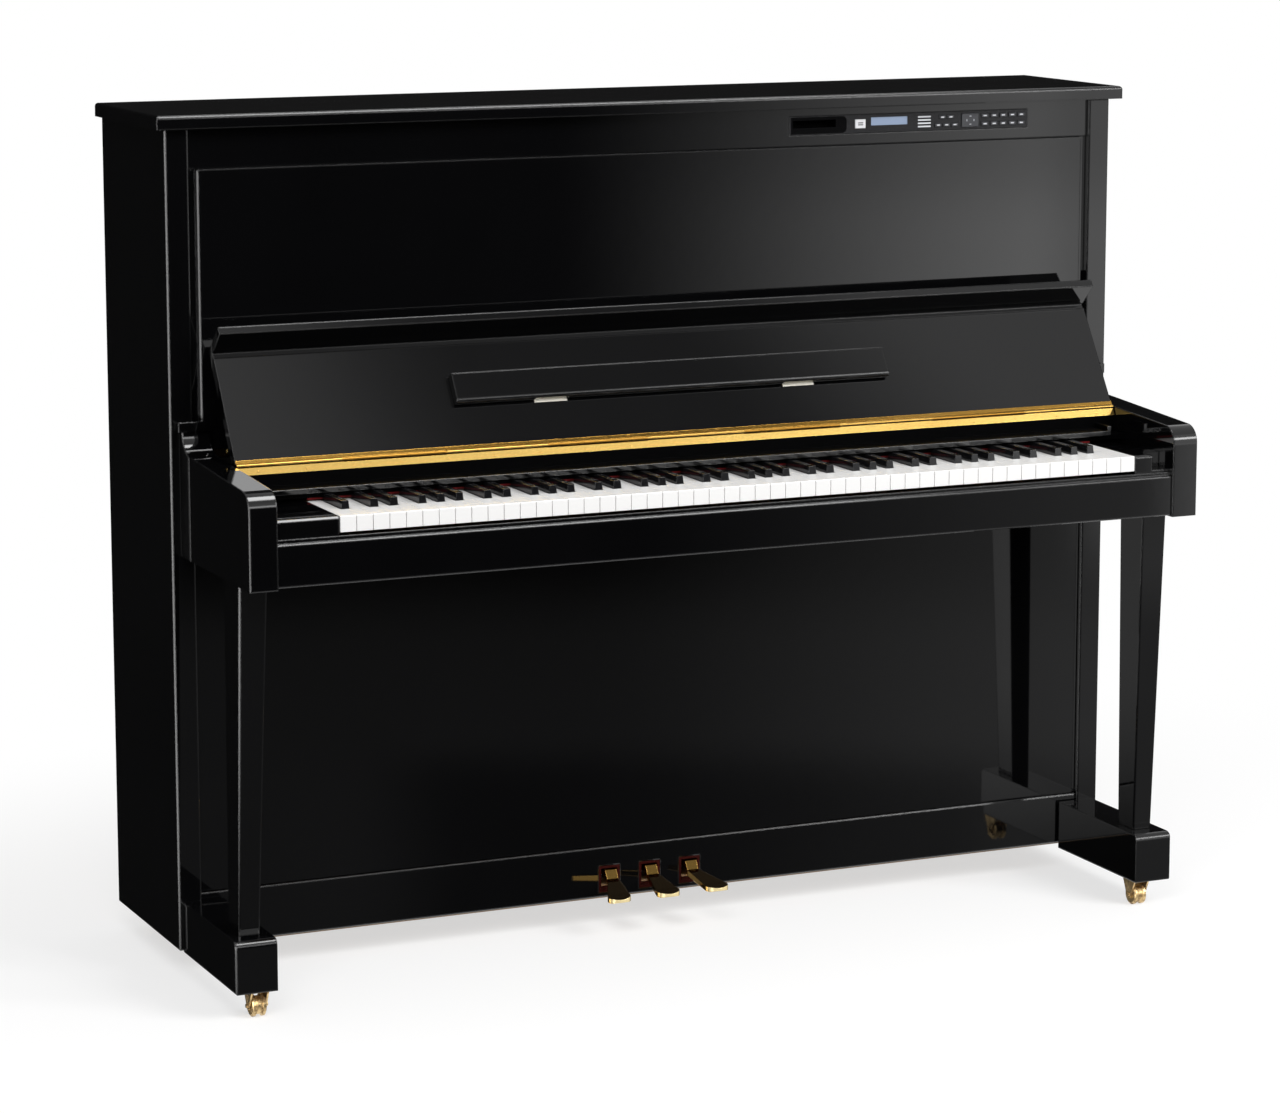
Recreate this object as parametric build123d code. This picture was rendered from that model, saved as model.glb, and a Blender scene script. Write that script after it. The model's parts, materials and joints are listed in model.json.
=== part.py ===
from build123d import *
from math import cos, radians, sin, tan
import os

# Upright piano in black lacquer, modelled as it is assembled.
# Millimetres, +Z up, the floor at Z = 0, the player sits at -Y, bass is at -X.
# The front edges of the two case sides lie on Y = 0.

# Whole instrument
HEIGHT = 1215.0
CASE_WIDTH = 1488.0
CASE_DEPTH = 291.0
ARM_REACH = 291.0
EDGE = 1.5
SEAT_GAP = 0.3
OVERCUT = 1.0

# Case sides and lid
SIDE_THICK = 34.0
SIDE_BOTTOM = 41.0
LID_THICK = 19.0
LID_SIDE_OVERHANG = 14.5
LID_FRONT_OVERHANG = 14.0
LID_REAR_SETBACK = 16.0
LID_NOSE = 5.0
LID_HINGE_INSET = 177.0
LID_HINGE_STANDOFF = 1.0

# Toe blocks, legs and casters
CASTER_HEIGHT = 38.0
TOE_HEIGHT = 73.0
TOE_WIDTH = 60.0
TOE_REACH = 229.0
TOE_INSET = 6.0
TOE_NOSE = 9.0
LEG_INSET = 22.0
LEG_SETBACK = 32.0
LEG_WIDTH_TOP = 40.0
LEG_WIDTH_FOOT = 30.0
LEG_DEPTH_TOP = 64.0
LEG_DEPTH_FOOT = 45.0
LEG_RAKE = 25.0
WHEEL_DIAMETER = 31.0
WHEEL_WIDTH = 20.0
WHEEL_GROOVE = 2.5
AXLE_DIAMETER = 6.0
PIN_CLEARANCE = 0.06
FORK_CHEEK = 2.5
FORK_SIDE_GAP = 0.5
FORK_PLATE = 2.0
FRONT_CASTER_SETBACK = 21.0
LEFT_CASTER_TRAIL = 6.0
RIGHT_CASTER_TRAIL = 16.0
REAR_CASTER_INSET = 40.0
REAR_CASTER_SIDE = 44.0

# Arms, key bed and key slip
ARM_WIDTH = 40.0
ARM_INSET = 14.0
ARM_BOTTOM = 604.0
ARM_FRONT_TOP = 737.0
ARM_REAR_TOP = 750.0
ARM_CAP_TOP = 794.0
ARM_CAP_HEIGHT = 14.0
ARM_CAP_DEPTH = 14.0
ARM_CAP_SIDE = 6.0
ARM_COVE = 30.0
ARM_NOSE = 26.0
KEY_BED_BOTTOM = 606.0
KEY_BED_THICK = 40.0
KEY_BED_REAR = 138.0
KEY_SLIP_TOP = 664.5
KEY_SLIP_THICK = 8.0
KEY_SLIP_SETBACK = 4.0
SLIP_LEDGE_RISE = 6.0

# Keyboard
NATURAL_COUNT = 52
KEY_COUNT = 88
KEY_BLOCK_LEFT = 91.0
KEY_BLOCK_RIGHT = 57.0
KEY_BLOCK_STEP = 28.0
KEY_GAP = 1.0
KEY_TOP = 696.0
KEY_STICK_HEIGHT = 22.0
KEY_HEAD = 50.0
KEY_REAR = 100.0
BALANCE_Y = -62.0
SHARP_RISE = 11.0
SHARP_SINK = 2.0
SHARP_SIDE_DRAFT = 5.0
MIDDLE_C = 39
SINGLE_KEYS = 3
FRONT_RAIL_DROP = 12.0
FRONT_RAIL_WIDTH = 24.0
BALANCE_RAIL_WIDTH = 36.0
BACK_RAIL_WIDTH = 36.0
BALANCE_BEAD = 6.0

# Fallboard, its hinge and the music desk
HINGE_Y = -118.5
HINGE_Z = 745.0
FALL_LEAN = 32.4
FALL_FACE = 164.0
FALL_BAND = 8.0
FALL_THICK = 17.0
FALL_LIP = 40.0
FALL_FLARE = 12.0
FALL_LIP_THICK = 12.0
FALL_BAND_DEPTH = 3.0
FALL_SIDE_GAP = 1.5
LEAF_THICK = 1.2
LEAF_UPPER = 8.5
LEAF_LOWER = 13.5
LEAF_SLOPE = 25.0
BARREL_RADIUS = 3.0
HINGE_PIN_RADIUS = 1.5
KNUCKLES = 9
KNUCKLE_GAP = 0.4
DESK_WIDTH = 680.0
DESK_SHIFT = -14.0
DESK_LOW = 69.0
DESK_HEIGHT = 46.0
DESK_THICK = 12.0
DESK_HINGE_X = 195.0
DESK_HINGE_LENGTH = 50.0
DESK_PIN_RADIUS = 1.5
DESK_PIN_REACH = 8.0
DESK_BARREL_RADIUS = 2.6
DESK_PLATE_SHOW = 2.5
NAMEBOARD_BOTTOM = 700.5
NAMEBOARD_DEPTH = 34.0
SHELF_BOTTOM = 708.5
SHELF_THICK = 7.0
SHELF_REACH = 37.0
SHELF_UNDERCUT = 11.0
SHELF_RETURN = 6.0
FELT_HANG = 2.5
FELT_THICK = 3.0

# Upper front
PANEL_FACE_Y = 2.0
PANEL_THICK = 20.0
PANEL_BOTTOM = 752.0
TOP_RAIL_HEIGHT = 55.7
PANEL_RABBET = 12.0
PANEL_RABBET_DEPTH = 8.0
TOP_RAIL_FACE_Y = 7.0
TOP_RAIL_THICK = 18.0

# Control panel in the top rail
CONTROL_END_GAP = 104.0
CONTROL_WIDTH = 398.0
CONTROL_HEIGHT = 27.0
CONTROL_DROP = 25.7
CONTROL_PROUD = 0.8
BUTTON_TRAVEL = 1.2
BUTTON_GAP = 0.2
BUTTON_PROUD = 2.0
BUTTON_BACK = 6.0
SLOT_INSET = 6.0
SLOT_RISE = 2.0
SLOT_WIDTH = 70.0
SLOT_HEIGHT = 11.0
SLOT_BACK_WALL = 2.0
POWER_SPOT = 116.0
POWER_WIDTH = 17.0
POWER_HEIGHT = 13.0
DISPLAY_SPOT = 165.0
DISPLAY_RISE = 3.0
DISPLAY_WIDTH = 61.0
DISPLAY_HEIGHT = 12.0
MENU_SPOT = 260.0
MENU_PITCH = 14.0
MENU_WIDTH = 10.5
MENU_HEIGHT = 4.5
PAD_SPOT = 300.0
PAD_WIDTH = 28.0
PAD_HEIGHT = 20.0
PLAY_SPOT = 356.0
PLAY_PITCH = 15.5
PLAY_WIDTH = 11.0
PLAY_HEIGHT = 5.5
ROW_RISE = 6.0

# Lower front and pedals
RAIL_FACE_Y = 5.0
RAIL_THICK = 20.0
RAIL_BOTTOM = 45.0
RAIL_TOP = 121.0
LOWER_PANEL_SETBACK = 4.0
BOTTOM_BOARD_THICK = 20.0
PEDAL_SPACING = 65.0
PEDAL_SHIFT = -16.0
PEDAL_SPLAY = 14.0
PEDAL_TIP_Y = -72.0
PEDAL_PIVOT_Y = 72.0
PEDAL_PIVOT_Z = 82.0
PEDAL_TAIL_Y = 132.0
PEDAL_NECK = 18.0
PEDAL_NECK_OUT = 5.0
PEDAL_TOE = 37.0
PEDAL_TOE_BULGE = 9.0
PEDAL_TOE_ROUND = 7.0
PEDAL_THICK = 9.0
PEDAL_TOE_THICK = 7.0
PEDAL_STEP = 12.0
PEDAL_STEP_RUN = 8.0
PEDAL_DROP = 24.0
PEDAL_SLOT_WIDTH = 34.0
PEDAL_SLOT_TOP = 92.0
PEDAL_SLOT_BOTTOM = 52.0
PEDAL_PIN_RADIUS = 4.0
PEDAL_CHEEK = 4.0

# Back, soundboard, plate, strings and action
POST_COUNT = 5
POST_WIDTH = 70.0
BEAM_FRONT = 205.0
RIB_DEPTH = 20.0
RIB_WIDTH = 22.0
RIB_COUNT = 6
RIB_SLANT = 35.0
RIB_PITCH = 240.0
BRIDGE_WIDTH = 33.0
LONG_BRIDGE_X = 142.0
LONG_BRIDGE_LENGTH = 780.0
LONG_BRIDGE_SLANT = -38.0
BASS_BRIDGE_X = -142.0
BASS_BRIDGE_DROP = 273.0
BASS_BRIDGE_LENGTH = 426.0
BASS_BRIDGE_SLANT = -20.0
TOP_BEAM_HEIGHT = 135.0
BOTTOM_BEAM_HEIGHT = 90.0
SOUNDBOARD_THICK = 9.0
PLATE_FACE_Y = 160.0
PLATE_THICK = 12.0
PLATE_MARGIN = 20.0
STRUT_RISE = 8.0
STRUT_WIDTH = 14.0
TENOR_STRING_Y = 153.0
BASS_STRING_Y = 149.0
STRING_RADIUS = 0.7
BASS_STRING_RADIUS = 1.4
BASS_SLANT = 0.2
ACTION_MARGIN = 77.0
SECTION_BREAK = 24.0
BASS_NOTES = 26
NOTES_PER_HALVING = 16
TENOR_END = 60
DAMPED_NOTES = 66
PIN_DROP = 35.7
PIN_ROW_DROP = 14.0
PIN_ROWS = 4
TUNING_PIN_RADIUS = 3.4
TUNING_PIN_LENGTH = 22.0
HAMMER_PIVOT_Y = 92.0
STRIKE_DROP = 9.0
HAMMER_SWING = 127.0
HAMMER_NOSE_Y = 102.0
HAMMER_HEAD = 34.0
HAMMER_HEAD_HEIGHT = 18.0
HAMMER_SHOULDER = 16.0
HAMMER_TAIL = 8.0
HAMMER_WIDTH = 9.5
HAMMER_BUTT = 9.5
BRACKET_THICK = 8.0
DAMPER_PIVOT_Y = 124.0
DAMPER_PIVOT_DROP = 20.0
DAMPER_LEVER = 6.0
DAMPER_PAD = 35.0
ACTION_RAIL_HEIGHT = 20.0
BRACKET_END = 22.0
BRACKET_FOOT_GAP = 6.0
BRACKET_REACH = 30.0
BRACKET_NOSE_DROP = 40.0
BRACKET_NOSE = 20.0
BRACKET_STEM = 60.0

# Places worked out from the sizes above
HALF = CASE_WIDTH / 2
INNER = HALF - SIDE_THICK
FRONT = -ARM_REACH
BACK = CASE_DEPTH
LID_BOTTOM = HEIGHT - LID_THICK
CASE_TOP = LID_BOTTOM - SEAT_GAP
ARM_OUTER = HALF - ARM_INSET
ARM_INNER = ARM_OUTER - ARM_WIDTH
KEY_BED_TOP = KEY_BED_BOTTOM + KEY_BED_THICK
KEY_BOTTOM = KEY_TOP - KEY_STICK_HEIGHT
KEYBOARD_LEFT = -ARM_INNER + KEY_BLOCK_LEFT + KEY_GAP
KEYBOARD_RIGHT = ARM_INNER - KEY_BLOCK_RIGHT - KEY_GAP
NATURAL_PITCH = (KEYBOARD_RIGHT - KEYBOARD_LEFT) / NATURAL_COUNT
SLIP_FRONT = FRONT + KEY_SLIP_SETBACK
SLIP_BACK = SLIP_FRONT + KEY_SLIP_THICK
KEY_FRONT = SLIP_BACK + KEY_GAP
FALL_HALF = ARM_INNER - FALL_SIDE_GAP
PANEL_TOP = CASE_TOP - TOP_RAIL_HEIGHT
CONTROL_RIGHT = INNER - CONTROL_END_GAP
CONTROL_LEFT = CONTROL_RIGHT - CONTROL_WIDTH
CONTROL_CENTRE_Z = CASE_TOP - CONTROL_DROP
CONTROL_FACE_Y = TOP_RAIL_FACE_Y - CONTROL_PROUD
CONTROL_BACK_Y = TOP_RAIL_FACE_Y + TOP_RAIL_THICK
TOP_BEAM_BOTTOM = CASE_TOP - TOP_BEAM_HEIGHT
BOARD_BOTTOM = CASTER_HEIGHT
BOARD_TOP = BOARD_BOTTOM + BOTTOM_BOARD_THICK
BOTTOM_BEAM_TOP = BOARD_TOP + BOTTOM_BEAM_HEIGHT
RAIL_BACK = RAIL_FACE_Y + RAIL_THICK
SOUNDBOARD_FACE = BEAM_FRONT - SOUNDBOARD_THICK
HAMMER_STRIKE_Z = TOP_BEAM_BOTTOM - STRIKE_DROP
HAMMER_PIVOT_Z = HAMMER_STRIKE_Z - HAMMER_SWING
DAMPER_PIVOT_Z = HAMMER_PIVOT_Z - DAMPER_PIVOT_DROP
PIN_TOP_Z = CASE_TOP - PIN_DROP
NOTE_PITCH = 2 * (INNER - ACTION_MARGIN - SECTION_BREAK) / (KEY_COUNT - 1)
SHARPS = (1, 3, 6, 8, 10)
NATURALS = (0, 2, 4, 5, 7, 9, 11)


def block(x0, x1, y0, y1, z0, z1):
    """A rectangular piece between two opposite corners."""
    middle = Pos((x0 + x1) / 2, (y0 + y1) / 2, (z0 + z1) / 2)
    return middle * Box(x1 - x0, y1 - y0, z1 - z0)


def eased(piece, size=EDGE):
    """A piece with its arrises taken off, as sanding leaves them."""
    return chamfer(piece.edges(), size)


def side_profile(outline, x0, x1):
    """A closed outline of (y, z) points drawn out along X."""
    face = make_face(Polyline(outline, close=True))
    return extrude(Plane.YZ.offset(x0) * face, amount=x1 - x0)


def rod_x(radius, x0, x1, y, z):
    """A round bar that lies along X."""
    return Pos((x0 + x1) / 2, y, z) * Rot(0, 90, 0) * Cylinder(radius, x1 - x0)


def mirrored(piece):
    """The same piece on the other side of the instrument."""
    return mirror(piece, about=Plane.YZ)


def save(name, *pieces):
    """Write one node, as a single solid or as a group of separate solids."""
    solids = [solid for piece in pieces for solid in piece.solids()]
    shape = solids[0] if len(solids) == 1 else Compound(children=solids)
    export_step(shape, f"parts/{name}.step")


# Case


def case_side():
    """The right-hand case side, a plain lacquered slab."""
    return eased(block(INNER, HALF, 0, BACK, SIDE_BOTTOM, CASE_TOP))


def lid():
    """The lid, rounded along its front and its two ends."""
    half = HALF + LID_SIDE_OVERHANG
    slab = block(-half, half, -LID_FRONT_OVERHANG, BACK - LID_REAR_SETBACK, LID_BOTTOM, HEIGHT)
    top = slab.faces().sort_by(Axis.Z)[-1].edges()
    nose = top.filter_by(Axis.X).sort_by(Axis.Y)[:1] + top.filter_by(Axis.Y)
    return fillet(nose, LID_NOSE)


def toe_block():
    """The right-hand toe, which carries the leg and a front caster."""
    outer = HALF - TOE_INSET
    toe = block(outer - TOE_WIDTH, outer, -TOE_REACH, 0, CASTER_HEIGHT, CASTER_HEIGHT + TOE_HEIGHT)
    ends = toe.edges().filter_by(Axis.X).group_by(Axis.Y)[0].sort_by(Axis.Z)
    toe = fillet(ends[-1:], TOE_NOSE)
    return chamfer(toe.faces().sort_by(Axis.X)[-1].edges().filter_by(Axis.Y), EDGE)


def leg():
    """The right-hand leg, plumb outside and behind, tapered in front and towards the knees."""
    outer = HALF - LEG_INSET
    foot_z = CASTER_HEIGHT + TOE_HEIGHT
    foot_front = -TOE_REACH + LEG_SETBACK
    top_front = foot_front - LEG_RAKE
    foot = Pos(outer - LEG_WIDTH_FOOT / 2, foot_front + LEG_DEPTH_FOOT / 2, foot_z)
    top = Pos(outer - LEG_WIDTH_TOP / 2, top_front + LEG_DEPTH_TOP / 2, ARM_BOTTOM)
    foot_face = foot * Rectangle(LEG_WIDTH_FOOT, LEG_DEPTH_FOOT)
    top_face = top * Rectangle(LEG_WIDTH_TOP, LEG_DEPTH_TOP)
    post = loft([foot_face, top_face])
    corners = [e for e in post.edges() if abs(e.tangent_at(0.5).Z) > cos(radians(LEG_RAKE))]
    return chamfer(corners, EDGE)


def arm():
    """The right-hand arm: a nose in front, a cove and a cap against the case side."""
    cap_front = -ARM_CAP_DEPTH
    cap_low = ARM_CAP_TOP - ARM_CAP_HEIGHT
    cove_y = cap_front + EDGE * 2
    nose_y = FRONT + ARM_NOSE
    nose_mid = ARM_NOSE * (1 - cos(radians(45)))
    edges = [
        Line((FRONT, ARM_BOTTOM), (0, ARM_BOTTOM)),
        Line((0, ARM_BOTTOM), (0, ARM_CAP_TOP)),
        Line((0, ARM_CAP_TOP), (cap_front, ARM_CAP_TOP)),
        Line((cap_front, ARM_CAP_TOP), (cap_front, cap_low)),
        Line((cap_front, cap_low), (cove_y, cap_low)),
        RadiusArc((cove_y, cap_low), (cove_y - ARM_COVE, ARM_REAR_TOP), ARM_COVE),
        Line((cove_y - ARM_COVE, ARM_REAR_TOP), (nose_y, ARM_FRONT_TOP)),
        ThreePointArc(
            (nose_y, ARM_FRONT_TOP),
            (FRONT + nose_mid, ARM_FRONT_TOP - nose_mid),
            (FRONT, ARM_FRONT_TOP - ARM_NOSE),
        ),
        Line((FRONT, ARM_FRONT_TOP - ARM_NOSE), (FRONT, ARM_BOTTOM)),
    ]
    face = make_face(Wire(edges))
    body = extrude(Plane.YZ.offset(ARM_INNER) * face, amount=ARM_WIDTH)
    outer = body.faces().sort_by(Axis.X)[-1].edges()
    inner = body.faces().sort_by(Axis.X)[0].edges()
    front = [e for e in outer + inner if e.center().Y < FRONT + ARM_NOSE]
    body = chamfer(front, EDGE / 2)
    return body + block(ARM_INNER, ARM_OUTER + ARM_CAP_SIDE, cap_front, 0, cap_low, ARM_CAP_TOP)


def key_bed():
    """The board under the keys, between the arms and then between the sides."""
    front = block(-ARM_INNER, ARM_INNER, SLIP_BACK, 0, KEY_BED_BOTTOM, KEY_BED_TOP)
    rear = block(-INNER, INNER, 0, KEY_BED_REAR, KEY_BED_BOTTOM, KEY_BED_TOP)
    return front + rear


def key_slip():
    """The strip in front of the keys, with a ledge behind its top edge."""
    face = block(-ARM_INNER, ARM_INNER, SLIP_FRONT, SLIP_BACK, KEY_BED_BOTTOM, KEY_SLIP_TOP)
    front = face.faces().sort_by(Axis.Y)[0].edges().filter_by(Axis.X)
    face = chamfer(front, EDGE)
    ledge_y = SLIP_FRONT + KEY_SLIP_THICK / 2
    ledge_top = KEY_SLIP_TOP + SLIP_LEDGE_RISE
    return face + block(-ARM_INNER, ARM_INNER, ledge_y, SLIP_BACK, KEY_SLIP_TOP - EDGE, ledge_top)


def key_blocks():
    """The blocks that close the keyboard at both ends; the right one is cut back by the arm."""
    left = block(-ARM_INNER, KEYBOARD_LEFT - KEY_GAP, KEY_FRONT, 0, KEY_BED_TOP, KEY_TOP)
    right = block(KEYBOARD_RIGHT + KEY_GAP, ARM_INNER, KEY_FRONT, 0, KEY_BED_TOP, KEY_TOP)
    pieces = []
    for side in (left, right):
        edge = side.edges().filter_by(Axis.X).group_by(Axis.Y)[0].sort_by(Axis.Z)[-1:]
        pieces.append(chamfer(edge, EDGE * 2))
    step = block(
        ARM_INNER - KEY_BLOCK_STEP,
        ARM_INNER + OVERCUT,
        KEY_FRONT - OVERCUT,
        KEY_FRONT + KEY_BLOCK_STEP,
        KEY_BED_TOP + KEY_BLOCK_STEP,
        KEY_TOP + OVERCUT,
    )
    pieces[1] -= step
    return pieces


def upper_panel():
    """The removable front panel, with a rabbet that leaves a shadow line round it."""
    back = PANEL_FACE_Y + PANEL_THICK
    shoulder = PANEL_FACE_Y + PANEL_RABBET_DEPTH
    base = block(-INNER, INNER, shoulder, back, PANEL_BOTTOM, PANEL_TOP)
    half = INNER - PANEL_RABBET
    field = eased(block(-half, half, PANEL_FACE_Y, back - EDGE, PANEL_BOTTOM, PANEL_TOP))
    return base + field


def top_rail():
    """The rail under the lid, cut out for the control panel."""
    back = TOP_RAIL_FACE_Y + TOP_RAIL_THICK
    rail = block(-INNER, INNER, TOP_RAIL_FACE_Y, back, PANEL_TOP, CASE_TOP)
    low = CONTROL_CENTRE_Z - CONTROL_HEIGHT / 2
    front = TOP_RAIL_FACE_Y - OVERCUT
    return rail - block(CONTROL_LEFT, CONTROL_RIGHT, front, back + OVERCUT, low, low + CONTROL_HEIGHT)


def lower_panel():
    """The knee panel, held between the bottom rail and the key bed."""
    face = RAIL_FACE_Y + LOWER_PANEL_SETBACK
    return eased(block(-INNER, INNER, face, RAIL_BACK, RAIL_TOP, KEY_BED_BOTTOM), EDGE / 2)


def pedal_places():
    """The X of the three pedals, from the left."""
    return [PEDAL_SHIFT + PEDAL_SPACING * n for n in (-1, 0, 1)]


def bottom_rail():
    """The rail at the foot of the case, with a slot for each pedal."""
    rail = block(-INNER, INNER, RAIL_FACE_Y, RAIL_BACK, RAIL_BOTTOM, RAIL_TOP)
    rail = chamfer(rail.edges().filter_by(Axis.X).group_by(Axis.Y)[0], EDGE)
    half = PEDAL_SLOT_WIDTH / 2
    front = RAIL_FACE_Y - OVERCUT
    back = RAIL_BACK + OVERCUT
    for x in pedal_places():
        rail -= block(x - half, x + half, front, back, PEDAL_SLOT_BOTTOM, PEDAL_SLOT_TOP)
    return rail


def bottom_board():
    """The floor of the case, which carries the pedal brackets and the rear casters."""
    return block(-INNER, INNER, RAIL_BACK, BACK, BOARD_BOTTOM, BOARD_TOP)


# Casters


def caster_places():
    """The X and Y of the four axles: front left, front right, rear left, rear right."""
    toe_x = HALF - TOE_INSET - TOE_WIDTH / 2
    left_x = LEFT_CASTER_TRAIL - toe_x
    right_x = toe_x - RIGHT_CASTER_TRAIL
    front_y = -TOE_REACH + FRONT_CASTER_SETBACK
    rear_x = INNER - REAR_CASTER_SIDE
    rear_y = BACK - REAR_CASTER_INSET
    return [(left_x, front_y), (right_x, front_y), (-rear_x, rear_y), (rear_x, rear_y)]


def caster_fork(x, y):
    """A plate with two tapered cheeks, round at their ends, and the axle between them."""
    axle_z = WHEEL_DIAMETER / 2
    inside = WHEEL_WIDTH / 2 + FORK_SIDE_GAP
    outside = inside + FORK_CHEEK
    top = CASTER_HEIGHT - FORK_PLATE
    half_top = WHEEL_DIAMETER / 2
    fork = block(x - outside, x + outside, y - half_top, y + half_top, top, CASTER_HEIGHT)
    outline = [
        (y - half_top, top),
        (y - AXLE_DIAMETER, axle_z),
        (y + AXLE_DIAMETER, axle_z),
        (y + half_top, top),
    ]
    for x0 in (x - outside, x + inside):
        fork += side_profile(outline, x0, x0 + FORK_CHEEK)
        fork += rod_x(AXLE_DIAMETER, x0, x0 + FORK_CHEEK, y, axle_z)
    head = outside + FORK_CHEEK
    return fork + rod_x(AXLE_DIAMETER / 2, x - head, x + head, y, axle_z)


def caster_wheel(x, y):
    """A grooved wheel, turned about its axle."""
    bore = AXLE_DIAMETER / 2 + PIN_CLEARANCE
    rim = WHEEL_DIAMETER / 2
    half = WHEEL_WIDTH / 2
    groove = rim - WHEEL_GROOVE
    third = WHEEL_WIDTH / 6
    outline = [
        (-half, bore),
        (half, bore),
        (half, groove),
        (half - EDGE, rim),
        (third + EDGE, rim),
        (third, groove),
        (-third, groove),
        (-third - EDGE, rim),
        (-half + EDGE, rim),
        (-half, groove),
    ]
    wheel = revolve(make_face(Polyline(outline, close=True)), Axis.X)
    return Pos(x, y, WHEEL_DIAMETER / 2) * wheel


# Keyboard


def note_slot(key):
    """The octave and the semitone of a key, counted from the lowest key."""
    return divmod(NATURALS[-2] + key, len(NATURALS) + len(SHARPS))


def octave_left(octave):
    """The X at which an octave starts."""
    first_octave, first_semitone = note_slot(0)
    before = first_octave * 7 + NATURALS.index(first_semitone)
    return KEYBOARD_LEFT + (octave * 7 - before) * NATURAL_PITCH


def tail_edges(key):
    """The X limits of a key where naturals and sharps share the octave evenly."""
    octave, semitone = note_slot(key)
    lower = NATURAL_PITCH * 3 / 5
    upper = NATURAL_PITCH * 4 / 7
    if semitone < 5:
        left = octave_left(octave) + semitone * lower
        return left, left + lower
    left = octave_left(octave) + 5 * lower + (semitone - 5) * upper
    return left, left + upper


def is_sharp(key):
    """Whether a key is one of the black keys."""
    return note_slot(key)[1] in SHARPS


def natural(key):
    """A white key: a wide head in front and a narrow stick behind it."""
    octave, semitone = note_slot(key)
    gap = KEY_GAP / 2
    head_left = octave_left(octave) + NATURALS.index(semitone) * NATURAL_PITCH
    head_right = head_left + NATURAL_PITCH
    left, right = tail_edges(key)
    if key == 0:
        left = head_left
    if key == KEY_COUNT - 1:
        right = head_right
    shoulder = KEY_FRONT + KEY_HEAD
    head = block(head_left + gap, head_right - gap, KEY_FRONT, shoulder, KEY_BOTTOM, KEY_TOP)
    front_top = head.edges().filter_by(Axis.X).group_by(Axis.Y)[0].sort_by(Axis.Z)[-1:]
    head = chamfer(front_top, EDGE / 2)
    return head + block(left + gap, right - gap, shoulder, KEY_REAR, KEY_BOTTOM, KEY_TOP)


def sharp(key):
    """A black key: a stick in its slot and a raised top with sloping sides."""
    left, right = tail_edges(key)
    gap = KEY_GAP / 2
    front = KEY_FRONT + KEY_HEAD + KEY_GAP
    stick_top = KEY_TOP - SHARP_SINK
    stick = block(left + gap, right - gap, front, KEY_REAR, KEY_BOTTOM, stick_top)
    end = nameboard_skirt() - KEY_GAP
    outline = Rectangle(right - left - KEY_GAP * 2, end - front - KEY_GAP)
    base = Pos((left + right) / 2, (front + KEY_GAP + end) / 2, stick_top) * outline
    return stick + extrude(base, amount=SHARP_RISE + SHARP_SINK, taper=SHARP_SIDE_DRAFT)


def key_frame():
    """The three rails under the keys; a round bead carries them at the balance."""
    left = KEYBOARD_LEFT - KEY_GAP
    right = KEYBOARD_RIGHT + KEY_GAP
    seat = KEY_BOTTOM - SEAT_GAP
    front_y = KEY_FRONT + (KEY_HEAD - FRONT_RAIL_WIDTH) / 2
    front_top = KEY_BOTTOM - FRONT_RAIL_DROP
    front = block(left, right, front_y, front_y + FRONT_RAIL_WIDTH, KEY_BED_TOP, front_top)
    half = BALANCE_RAIL_WIDTH / 2
    low = seat - BALANCE_BEAD
    balance = block(left, right, BALANCE_Y - half, BALANCE_Y + half, KEY_BED_TOP, low)
    balance += rod_x(BALANCE_BEAD, left, right, BALANCE_Y, low)
    back = block(left, right, KEY_REAR - BACK_RAIL_WIDTH, KEY_REAR, KEY_BED_TOP, seat)
    return [front, balance, back]


# Fallboard, hinge and music desk


def fall_point(along, out):
    """A (y, z) point from its distance along the open fallboard's face and out of it."""
    lean = radians(FALL_LEAN)
    y = HINGE_Y + along * sin(lean) - out * cos(lean)
    z = HINGE_Z + along * cos(lean) + out * sin(lean)
    return (y, z)


def fall_profile(outline, x0, x1):
    """An outline given along and out of the fallboard's face, drawn out along X."""
    return side_profile([fall_point(a, o) for a, o in outline], x0, x1)


def fallboard():
    """The key cover, open: a face board with a lip that closes over the key fronts."""
    foot = BARREL_RADIUS + KNUCKLE_GAP * 2
    band = FALL_FACE
    lip = FALL_FACE + FALL_BAND
    end = lip + FALL_LIP_THICK
    flare = FALL_LIP * tan(radians(FALL_FLARE))
    outline = [
        (foot, -LEAF_THICK / 2),
        (band, -LEAF_THICK / 2),
        (band, -FALL_BAND_DEPTH),
        (lip, -FALL_BAND_DEPTH),
        (lip, 0),
        (lip + flare, FALL_LIP),
        (end + flare - EDGE, FALL_LIP),
        (end + flare, FALL_LIP - EDGE),
        (end, 0),
        (end, -FALL_THICK + EDGE * 2),
        (end - EDGE * 2, -FALL_THICK),
        (foot, -FALL_THICK),
    ]
    return fall_profile(outline, -FALL_HALF, FALL_HALF)


def hinge_knuckles(moving):
    """The barrel lengths of one leaf, as (x0, x1) pairs."""
    pitch = 2 * FALL_HALF / KNUCKLES
    spans = []
    for n in range(KNUCKLES):
        if (n % 2 == 1) == moving:
            x0 = -FALL_HALF + n * pitch
            spans.append((x0 + KNUCKLE_GAP / 2, x0 + pitch - KNUCKLE_GAP / 2))
    return spans


def leaf_plate(start, end, slope_point, x0, x1):
    """A flat strip of leaf between two distances from the hinge axis."""
    half = LEAF_THICK / 2
    outline = [slope_point(start, -half), slope_point(end, -half)]
    outline += [slope_point(end, half), slope_point(start, half)]
    return side_profile(outline, x0, x1)


def lower_leaf_point(along, out):
    """A (y, z) point on the sloping lower leaf."""
    slope = radians(LEAF_SLOPE)
    y = HINGE_Y - along * sin(slope) - out * cos(slope)
    z = HINGE_Z - along * cos(slope) + out * sin(slope)
    return (y, z)


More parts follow.
